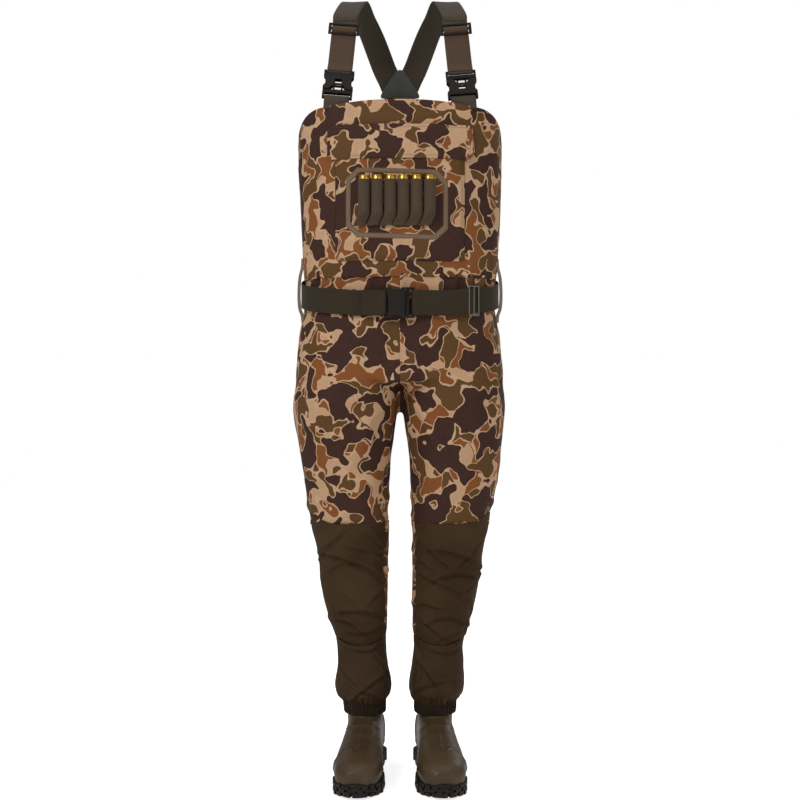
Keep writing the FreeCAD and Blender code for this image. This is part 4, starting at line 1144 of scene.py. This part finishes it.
def make_suspenders():
    """Each side's webbing: behind the buckle, through the adjuster, to the bib, and over the shoulder."""
    fold = 2.2 + WEB_T / 2
    for side, sign in SIDES.items():
        plug_below = side == "right"
        low_bar, high_bar = (PLUG_BAR, SOCKET_BAR) if plug_below else (SOCKET_BAR, PLUG_BAR)
        way = -1 if plug_below else 1
        low_t = BUCKLE_T + way * (low_bar - BUCKLE_MIDDLE)
        high_t = BUCKLE_T + way * (high_bar - BUCKLE_MIDDLE)
        turn = [(high_t - 3.6 * math.sin(a), fold * -math.cos(a)) for a in np.linspace(0, math.pi, 9)]
        rear = [(t, -3.4 - WEB_T / 2 + 0.25 * math.sin(t / 9.0))
                for t in np.linspace(STRAIGHT_T + 5, high_t + 12, 26)]
        rear += [(high_t + 6, -4.0)] + turn
        sections = mirrored(bend(rear, ACROSS), sign)
        strap = sweep(f"strap_rear_{side}", sections, WEB, WEB_T, "olive_webbing")
        frame_point(strap_point(STRAIGHT_T - 14), sign)
        frame_point(strap_point(high_t + 14), sign)
        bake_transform(strap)
        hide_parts(f"front_webbing_{side}")
        front = [(high_t + 1.0, fold), (high_t + 5, fold - 0.1), (high_t + 11, 1.0), (high_t + 17, -1.2)]
        front += [(t, -2.0 + 0.2 * math.sin(t / 7.0)) for t in np.linspace(high_t + 22, GLIDE_T - 14, 22)]
        front += [(GLIDE_T - 9, -1.9), (GLIDE_T - 6, 0.6), (GLIDE_T - 3.4, 3.3), (GLIDE_T, 3.9),
                  (GLIDE_T + 3.4, 3.3),
                  (GLIDE_T + 6, 0.6), (GLIDE_T + 8.5, -1.9)]
        path = through([(t, o, 0) for t, o in front], 2.0)[:, :2]
        sections = mirrored(bend(path, ACROSS), sign)
        strap = sweep(f"strap_front_{side}", sections, WEB, WEB_T, "brown_webbing", 30)
        frame_point(strap_point(high_t + 16), sign)
        frame_point(strap_point(GLIDE_T - 16), sign)
        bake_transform(strap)
        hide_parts(f"front_webbing_{side}")

        heights = (1280, 1300, 1320, 1341)
        lower = []
        for z in heights:
            a = np.array([STRAP_FOOT[0] - WEB / 2, float(bib_y(STRAP_FOOT[0] - WEB / 2, z, -3.5)), z])
            b = np.array([STRAP_FOOT[0] + WEB / 2, float(bib_y(STRAP_FOOT[0] + WEB / 2, z, -3.5)), z])
            inward = np.cross([0, 0, 1], b - a)
            inward = inward / np.linalg.norm(inward)
            inward = inward if inward[1] > 0 else -inward
            lower.append(np.concatenate([(a + b) / 2 + inward * 2.3, (b - a) / WEB, -inward]))
        for t, out in ((low_t - 9, -3.3), (low_t - 6, -3.3)):
            lower.append(np.concatenate([strap_point(t, out), ACROSS, OUT]))
        path = through(lower, 4.0)
        sections = [(row[:3], row[3:6], row[6:9]) for row in path]
        turn = [(low_t + 3.6 * math.sin(a), -fold * math.cos(a)) for a in np.linspace(0, math.pi, 10)]
        turn = [(low_t - 3, -fold)] + turn + [(low_t - 3, fold), (low_t - 8, fold - 0.3), (low_t - 13, 0.6),
                                              (low_t - 19, -0.7),
                                              (low_t - 25, -0.8)]
        sections += bend(turn, ACROSS)
        tab = sweep(f"bib_tab_{side}", mirrored(sections, sign), WEB, WEB_T, "olive_webbing", 60)
        carry(tab, "torso", "bib_tabs")

        layer = STRAP_LAYER if side == "right" else -STRAP_LAYER
        below = -3.4 - WEB_T / 2
        route = [strap_point(STRAIGHT_T, below), strap_point(STRAIGHT_T + 18, below - 1.2)]
        route += [np.array([x, y + layer if y == YOKE_Y else y, z], float) for x, y, z in SHOULDER_ROUTE]
        path = through(route, 6.0)
        length = run_lengths(path)
        share = length / length[-1]
        table = np.array(SHOULDER_TURN)
        turns = np.column_stack([np.interp(share, table[:, 0], table[:, k]) for k in (1, 2, 3)])
        tangents = np.gradient(path, axis=0)
        sections = []
        for i, (centre, tangent, turned) in enumerate(zip(path, tangents, turns)):
            tangent = tangent / np.linalg.norm(tangent)
            across = turned - tangent * tangent.dot(turned)
            sections.append((centre, across, np.cross(tangent, across) * -1))
        strap = sweep(f"shoulder_strap_{side}_web", mirrored(sections, sign), WEB, WEB_T, "olive_webbing", 90)
        carry(strap, "torso", f"shoulder_strap_{side}")


def rounded_outline(points):
    """An outline with its corners cut again and again until they are round."""
    points = np.asarray(points, float)
    for _ in range(3):
        after = np.roll(points, -1, axis=0)
        part = (after - points) * 0.22
        points = np.stack([points + part, after - part], 1).reshape(-1, 2)
    return points


def plate(name, outline, y0, y1, material, bevel=0.5):
    """A flat piece with a rounded rim between two values of y."""
    count = len(outline)
    points = [(x, y, z) for y in (y0, y1) for x, z in outline]
    faces = [tuple(range(count)), tuple(range(2 * count - 1, count - 1, -1))]
    faces += [(k, (k + 1) % count, (k + 1) % count + count, k + count) for k in range(count)]
    obj = make_object(name, place(points), faces, MATERIALS[material])
    face_outwards(obj)
    add_modifier(obj, "BEVEL", width=bevel / 1000, segments=3, limit_method="ANGLE", angle_limit=0.7)
    return obj


def make_yoke():
    """The triangular patch where the straps cross behind, its stitches, and the tab below it."""
    top, low, half = YOKE_TOP, YOKE_BOTTOM, YOKE_HALF
    outline = rounded_outline([(-half, low), (half, low), (half + 1, low + 8), (9, top - 4), (0, top),
                               (-9, top - 4),
                               (-half - 1, low + 8)])
    centre = outline.mean(axis=0)
    rim = centre + (outline - centre) * 0.86
    depth = STRAP_LAYER + WEB_T / 2 + 0.8
    for row, (y0, y1) in enumerate(((YOKE_Y - depth - 2.0, YOKE_Y - depth),
                                    (YOKE_Y + depth, YOKE_Y + depth + 2.0))):
        patch = plate(f"yoke_patch_layer_{row}", outline, y0, y1, "yoke_rubber", 0.7)
        carry(patch, "torso", "yoke_patch")
        face = y0 - 0.1 if row == 0 else y1 + 0.1
        path = np.array([(x, face, z) for x, z in np.vstack([rim, rim[:1]])])
        ways = np.tile([0, -1.0 if row == 0 else 1.0, 0], (len(path), 1))
        stitch_line(f"yoke_stitch_{row}", path, ways, "torso", "brown_thread", 4.0, 2.8, 0.32)
    sections = [(np.array([0, YOKE_Y - WEB_T / 2 - 0.9 * math.sin((z - 1330) / 74 * math.pi), z]),
                 np.array([1.0, 0, 0]),
                 np.array([0, 1.0, 0])) for z in np.linspace(1330, low + 14, 24)]
    tab = sweep("back_tab_web", sections, WEB, WEB_T, "olive_webbing", 120)
    carry(tab, "torso", "back_tab")


# ---- belt ----------------------------------------------------------------------------------------
BELT_SIDE_Z, BELT_SLOPE, BELT_RING, BELT_IN = 974, 0.216, (196, -121, 112), 4.5
BELT_JOIN_Y, BELT_BUCKLE_X = -38, -8
ADJUSTER_X = 146
SIDE_KEEPER = [(1046, 199.5), (1028, 200.6), (1006, 205.6), (973, 207.6), (944, 206.0), (928, 200.8),
               (914, 199.6)]
BACK_KEEPER = [(1058, 112.6), (1042, 113.4), (1027, 121.8), (999, 122.6), (972, 121.6), (959, 113.4),
               (949, 113.6)]
KEEPER_WIDTH, KEEPER_T, KEEPER_Y = 20, 1.6, -12


def belt_height(y):
    return BELT_SIDE_Z + BELT_SLOPE * y


def belt_section(angle, out=0.0):
    """The belt's centre line at an angle round the waist, out millimetres off the ring."""
    half, front, back = BELT_RING
    grown = BELT_IN + WEB_T / 2 + out
    x, y = oval(np.array([angle]), half + grown, front - grown, back + grown, TORSO_SQUARE)
    x1, y1 = oval(np.array([angle + 0.01]), half + grown, front - grown, back + grown, TORSO_SQUARE)
    tangent = np.array([x1[0] - x[0], y1[0] - y[0], 0])
    normal = np.array([tangent[1], -tangent[0], 0])
    return np.array([x[0], y[0], belt_height(y[0])]), np.array([0, 0, 1.0]), normal / np.linalg.norm(normal)


def belt_angle(x, y_sign, out=0.0):
    """The angle at which the belt passes x, in front (-1) or behind (1)."""
    angles = np.linspace(0, math.pi, 2000) * y_sign
    half = BELT_RING[0] + BELT_IN + WEB_T / 2 + out
    xs, _ = oval(angles, half, -1, 1, TORSO_SQUARE)
    return float(angles[np.argmin(np.abs(xs - x))])


def make_belt():
    """The belt in two runs that turn round their buckle's bars, and its three loops."""
    y = BELT_RING[1] - BELT_IN - 2.4
    origin = np.array([BELT_BUCKLE_X, y - 2.2, belt_height(y)])
    left_x, right_x = origin[0] + SOCKET_BAR, origin[0] + PLUG_BAR
    up = np.array([0, 0, 1.0])

    def path_run(name, points, material, shift=0.0):
        """A strap through rows of (x, y), with upright faces."""
        path = through([(px, py, 0) for px, py in points], 4.0)
        steps = np.gradient(path, axis=0)
        sections = []
        for (px, py, _), (dx, dy, _) in zip(path, steps):
            sections.append((np.array([px, py, belt_height(py if abs(py) < 118 else y)]), up,
                             np.array([dy, -dx, 0])))
        return sweep(name, sections, WEB, WEB_T, material, shift)

    def ring_points(a0, a1, count, out=0.0):
        return [tuple(belt_section(a, out)[0][:2]) for a in np.linspace(a0, a1, count)]

    join = float(np.interp(BELT_JOIN_Y, [belt_section(a)[0][1] for a in np.linspace(-1.2, 0, 200)],
                           np.linspace(-1.2, 0, 200)))
    far_left = belt_angle(left_x - 22, -1)
    main = ring_points(join, 2 * math.pi + far_left, 74)
    fold_out = [(left_x - 8, y - 0.3), (left_x - 1, y + 0.6), (left_x + 3.0, y - 2.2),
                (left_x - 0.5, y - 5.6), (left_x - 9, y - 4.4),
                (left_x - 20, y - 3.0), (left_x - 34, y - 2.9), (left_x - 46, y - 2.7)]
    belt = path_run("belt_main", main + fold_out, "belt_web")
    carry(belt, "torso", "belt_webbing")
    near = belt_angle(right_x + 22, -1)
    inner = ring_points(join + 0.02, near, 30)
    outer = ring_points(near, belt_angle(ADJUSTER_X + 4, -1, 2.4), 26, 2.45)
    back_fold = [(right_x + 9, y - 0.2), (right_x + 1, y + 0.8), (right_x - 3.0, y - 2.2),
                 (right_x + 1, y - 5.4),
                 (right_x + 9, y - 4.6)]
    run = path_run("belt_front", inner + back_fold + outer, "belt_web", 40)
    p_join, p_plug = belt_section(join)[0], np.array([right_x + 30, y, 0])
    start, end = place([p_join * [1, 0, 0] + [0, y, 950]])[0], place([p_plug * [1, 0, 0] + [0, y, 950]])[0]
    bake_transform(run)
    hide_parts("belt_front_run")
    for name, centres, across in (("belt_loop_right", [(-x, KEEPER_Y, z) for z, x in SIDE_KEEPER],
                                   (-0.35, 0.94, 0)),
                                  ("belt_loop_left", [(x, KEEPER_Y, z) for z, x in SIDE_KEEPER],
                                   (0.35, 0.94, 0)),
                                  ("belt_loop_back", [(0, cy, z) for z, cy in BACK_KEEPER], (1, 0, 0))):
        path = through(centres, 3.0)
        steps = np.gradient(path, axis=0)
        sections = [(c, np.array(across, float), np.cross(np.array(across, float), s)) for c,
                    s in zip(path, steps)]
        keeper = sweep(name, sections, KEEPER_WIDTH, KEEPER_T, "taupe_trim")
        carry(keeper, "torso", "belt_loops")


# ---- boots ---------------------------------------------------------------------------------------
BOOT_X, BOOT_Y, TOE_OUT, SOLE_TOP = 72, 2, 3, 27
BOOT_SHAFT = [(236, 38.5, -44, 47), (205, 37.5, -43, 46), (170, 36, -41, 44), (135, 35.5, -42, 43),
              (105, 36, -45, 46),
              (60, 33, -40, 46)]
BOOT_FOOT = [(72, 24, 92), (58, 34, 110), (20, 37, 118), (-30, 37, 116), (-80, 40.5, 98), (-140, 46, 80),
             (-185, 44.5, 70),
             (-215, 34.5, 60), (-229, 19, 50)]
SOLE_EDGE = [(36, 66), (39, 30), (36, -20), (40, -80), (48, -140), (46.5, -185), (31.5, -222), (8, -239)]
SOLE_HEEL_Y = 84


def boot_to_frame(points, sign):
    """From the boot's own axes, ankle at the origin and toe towards -y, to the foot on one side."""
    p = np.asarray(points, float).reshape(-1, 3).copy()
    turn = math.radians(-TOE_OUT)
    x = p[:, 0] * math.cos(turn) - p[:, 1] * math.sin(turn) - BOOT_X
    y = p[:, 0] * math.sin(turn) + p[:, 1] * math.cos(turn) + BOOT_Y
    return place(np.column_stack([x * -sign, y, p[:, 2]]))


def boot_skin():
    """The upper's outside in the boot's own axes, in millimetres."""
    shaft_rows = np.arange(236, 60, -5.0)
    shaft = tube([(z, a, f, b) for z, a, f, b in BOOT_SHAFT], 2.1, shaft_rows, 72)
    stations = [(-y, 0.0, half, -(top - SOLE_TOP + 14) / 2, (top - SOLE_TOP + 14) / 2,
                 (SOLE_TOP - 14 + top) / 2)
                for y, half, top in BOOT_FOOT]
    ys = np.linspace(-72, 229, 62)
    rows = profile(stations, ys)
    angle = np.arange(72) * 2 * math.pi / 72
    points = []
    for y, (_, half, low, high, middle) in zip(ys, rows):
        x, h = oval(angle, half, low, high, 2.6)
        points.append(np.column_stack([x, np.full(72, -y), middle + h]))
    foot = np.concatenate(points), solid_faces(len(ys), 72)
    skin = fused("boot_skin", [shaft, foot], 0.0025)
    p = millimetres(skin)
    relax(skin, np.clip(smooth((p[:, 2] - 40) / 30) * smooth((215 - p[:, 2]) / 20), 0, 1), 26)
    p = millimetres(skin)
    x, y, z = p.T
    top = smooth((z - 30) / 12)
    ridge = bump_line(x, 2.6) * smooth((-y - 15) / 15) * smooth((y + 160) / 20) * 1.2
    wave = -y - 158 - 13 * np.cos(2 * math.pi * x / 46)
    cap = (1.1 * smooth(wave / 4) + 1.9 * bump_line(wave - 3.0, 3.6) * smooth((np.abs(x) - 7) / 7)) * top
    cap *= smooth((z - 34) / 10)
    rand = 1.0 * smooth((46 - z) / 4)
    heel = 1.3 * smooth((y - 30) / 3) * smooth((98 - z) / 3)
    crease = ridged((z + 0.6 * y + 5 * noise_at(p, 40, 71)) / 4.6) * 0.9
    crease *= np.exp(-((z - 108) / 22) ** 2) * smooth((-y - 20) / 20)
    soft = noise_at(p, 55, 72) * 0.8
    push(skin, ridge + cap + rand + heel + crease + soft)
    cut_away(skin, (0, 0, SOLE_TOP - 7), (0, 0, -1))
    cut_away(skin, (0, 0, 234), (0, 0, 1))
    return skin


def sole_ring(grow, count=120):
    """The sole's outline as a smooth closed ring, grown by so many millimetres."""
    edge = [(0, SOLE_HEEL_Y)] + SOLE_EDGE + [(-x, y) for x, y in reversed(SOLE_EDGE)]
    path = through([(x, y, 0) for x, y in edge + edge[:1]], 2.0)[:-1, :2]
    closed = np.vstack([path, path[:1]])
    length = run_lengths(closed)
    at = np.arange(count) * length[-1] / count
    ring = np.column_stack([np.interp(at, length, closed[:, k]) for k in (0, 1)])
    tangent = np.roll(ring, -1, axis=0) - np.roll(ring, 1, axis=0)
    normal = np.column_stack([-tangent[:, 1], tangent[:, 0]])
    normal = normal / np.linalg.norm(normal, axis=1)[:, None]
    if (normal * (ring - ring.mean(axis=0))).sum() < 0:
        normal = -normal
    return ring + normal * grow, normal


def toe_lift(ring, z):
    """How far the sole curls up towards the toe."""
    return 5.0 * smooth((-ring[:, 1] - 190) / 50) * (1 - z / 60)


def make_boots():
    """Both boots: the rubber upper, the sole, and its lugs."""
    skin = boot_skin()
    base = millimetres(skin)
    polygons = [tuple(p.vertices) for p in skin.data.polygons]
    rings = [(-6.0, SOLE_TOP - 1.0), (-3.4, SOLE_TOP - 1.5), (-2.4, SOLE_TOP - 4), (-2.4, 10.5), (-3.4, 8.0),
             (-5.5, 7.0)]
    sole_points, count = [], 120
    for grow, z in rings:
        ring, _ = sole_ring(grow, count)
        sole_points.append(np.column_stack([ring, z + toe_lift(ring, z)]))
    sole_faces = solid_faces(len(rings), count)
    lug_points, lug_faces = [], []

    def lug(corners, z0, z1, taper):
        """A lug on an outline, narrower at the ground."""
        corners = np.asarray(corners, float)
        middle = corners.mean(axis=0)
        start = sum(len(p) for p in lug_points)
        for share, z in ((1.0, z1), (1.0, z0 + 2.0), (taper, z0)):
            ring = middle + (corners - middle) * share
            lug_points.append(np.column_stack([ring, z + toe_lift(ring, z)]))
        k = len(corners)
        for r in range(2):
            lug_faces.extend((start + r * k + c, start + r * k + (c + 1) % k,
                              start + (r + 1) * k + (c + 1) % k,
                              start + (r + 1) * k + c) for c in range(k))
        lug_faces.append(tuple(start + 2 * k + c for c in range(k)))
        lug_faces.append(tuple(start + c for c in range(k - 1, -1, -1)))

    # chunky edge lugs in three uneven rows that climb the side of the sole
    ring, normal = sole_ring(0.0, count)
    dice = np.random.default_rng(7)
    for row, (z0, z1, reach) in enumerate(((0.0, 9.5, 1.2), (8.0, 16.0, 1.0), (14.5, 23.0, 0.8))):
        k = row
        while k < count - 2:
            size = int(dice.integers(2, 4))
            a, b = ring[k], ring[min(k + size, count - 1)]
            na, nb = normal[k], normal[min(k + size, count - 1)]
            out = reach + dice.uniform(-1.2, 1.0, 2)
            top = z1 + dice.uniform(-2.0, 1.5)
            skew = (b - a) * dice.uniform(-0.15, 0.15)
            lug([a + na * out[0] + skew, (a + b) / 2 + (na + nb) / 2 * (out.max() + 0.8),
                 b + nb * out[1] + skew,
                 b - nb * 13, a - na * 13], z0 + (dice.uniform(-1.5, 1.5) if row else 0.0), top, 0.95)
            k += size + (1 if dice.uniform() < 0.7 else 0)
    for row, y in enumerate(range(-205, 75, 19)):
        half = np.interp(y, [-230, -180, -80, -20, 60], [14, 30, 24, 19, 20])
        for s in (-1, 1):
            tilt = 4 * s
            lug([(s * 3, y), (s * half, y + tilt), (s * half, y + 11 + tilt), (s * 3, y + 11)], 0, 8, 0.9)
    for side, sign in SIDES.items():
        upper = make_object(f"boot_upper_{side}_rubber", boot_to_frame(base, sign), polygons if sign < 0 else
                            [f[::-1] for f in polygons])
        dress(upper, "boot_rubber", "boot_rubber", 3.0, 0)
        carry(upper, f"shin_{side}", f"boot_upper_{side}")
        sole = make_object(f"boot_sole_{side}_rubber", boot_to_frame(np.concatenate(sole_points), sign),
                           sole_faces,
                           MATERIALS["sole_rubber"])
        lugs = make_object(f"boot_lugs_{side}_rubber", boot_to_frame(np.concatenate(lug_points), sign),
                           lug_faces,
                           MATERIALS["sole_rubber"], False)
        for piece in (sole, lugs):
            face_outwards(piece)
            add_modifier(piece, "BEVEL", width=0.0007, segments=2, limit_method="ANGLE", angle_limit=0.6)
            carry(piece, f"shin_{side}", f"boot_outsole_{side}")
    drop(skin)


# ---- CAD pieces that stay ------------------------------------------------------------------------
def finish_cad():
    """Moulded and metal CAD pieces keep their shape, with softer edges and their own material."""
    kinds = {"suspender_": "buckle_plastic", "belt_socket": "buckle_plastic", "belt_plug": "buckle_plastic",
             "belt_arm": "buckle_plastic", "belt_adjuster": "wire_steel", "boot_lining": "lining_foam",
             "boot_footbed": "lining_foam"}
    for name in nodes:
        obj = bpy.data.objects.get(name)
        kind = next((m for start, m in kinds.items() if name.startswith(start)), None)
        if obj is None or kind is None:
            continue
        obj.data.materials.clear()
        obj.data.materials.append(MATERIALS[kind])
        if kind == "buckle_plastic":
            add_modifier(obj, "BEVEL", width=0.0009, segments=3, limit_method="ANGLE", angle_limit=0.6)


# ---- stage ---------------------------------------------------------------------------------------
# each soft light: name, place in metres, size, power in watts, and the height that it is aimed at
LIGHTS = (("key", (-1.7, -2.4, 2.8), 1.1, 46, 0.9), ("fill", (2.2, -2.2, 1.6), 2.0, 12, 0.8),
          ("top", (0.0, 0.2, 3.4), 2.0, 20, 0.8), ("rim", (1.8, 1.9, 2.2), 1.2, 12, 0.9))
CAMERA_DISTANCE, CAMERA_HEIGHT, CAMERA_LENS, FLOOR_HALF = 2.7, 0.755, 58.85, 9


def make_stage():
    """A pale floor, a white room, soft lights, and the camera."""
    pale = Nodes("pale_stage")
    seen = pale.add("ShaderNodeLightPath").outputs["Is Camera Ray"]
    pale.surface(srgb(247, 247, 246), 0.8, Emission_Color=(1, 1, 1, 1))
    pale.tree.links.new(pale.spread(seen, 0, 1, 0.15, 0.75), pale.shader.inputs["Emission Strength"])
    floor = make_object("stage_floor",
                        [(x * FLOOR_HALF, y * FLOOR_HALF, 0.0) for x,
                         y in ((-1, -1), (1, -1), (1, 1), (-1, 1))],
                        [(0, 1, 2, 3)], pale.material)
    world = bpy.data.worlds.new("studio")
    world.use_nodes = True
    tree = world.node_tree
    tree.nodes["Background"].inputs[0].default_value = (1, 1, 1, 1)
    path = tree.nodes.new("ShaderNodeLightPath")
    room = tree.nodes.new("ShaderNodeMapRange")
    room.inputs["To Min"].default_value = 0.36
    room.inputs["To Max"].default_value = 1.0
    tree.links.new(path.outputs["Is Camera Ray"], room.inputs["Value"])
    tree.links.new(room.outputs[0], tree.nodes["Background"].inputs[1])
    bpy.context.scene.world = world
    for name, spot, size, power, aim in LIGHTS:
        light = bpy.data.lights.new(name, "AREA")
        light.energy = power
        light.size = size
        obj = bpy.data.objects.new(name, light)
        obj.location = spot
        obj.rotation_euler = (Vector((0, 0, aim)) - Vector(spot)).to_track_quat("-Z", "Y").to_euler()
        bpy.context.scene.collection.objects.link(obj)
    camera = bpy.data.cameras.new("camera")
    camera.sensor_width = 36
    camera.lens = CAMERA_LENS
    obj = bpy.data.objects.new("camera", camera)
    obj.location = (0, -CAMERA_DISTANCE + ORIGIN_Y, CAMERA_HEIGHT)
    obj.rotation_euler = (math.pi / 2, 0, 0)
    bpy.context.scene.collection.objects.link(obj)
    bpy.context.scene.camera = obj
    bpy.context.scene.view_settings.view_transform = "Standard"


make_chest()
make_frame()
make_loops()
make_trousers()
make_lower_legs()
make_suspenders()
make_yoke()
make_belt()
make_boots()
finish_cad()
make_stage()
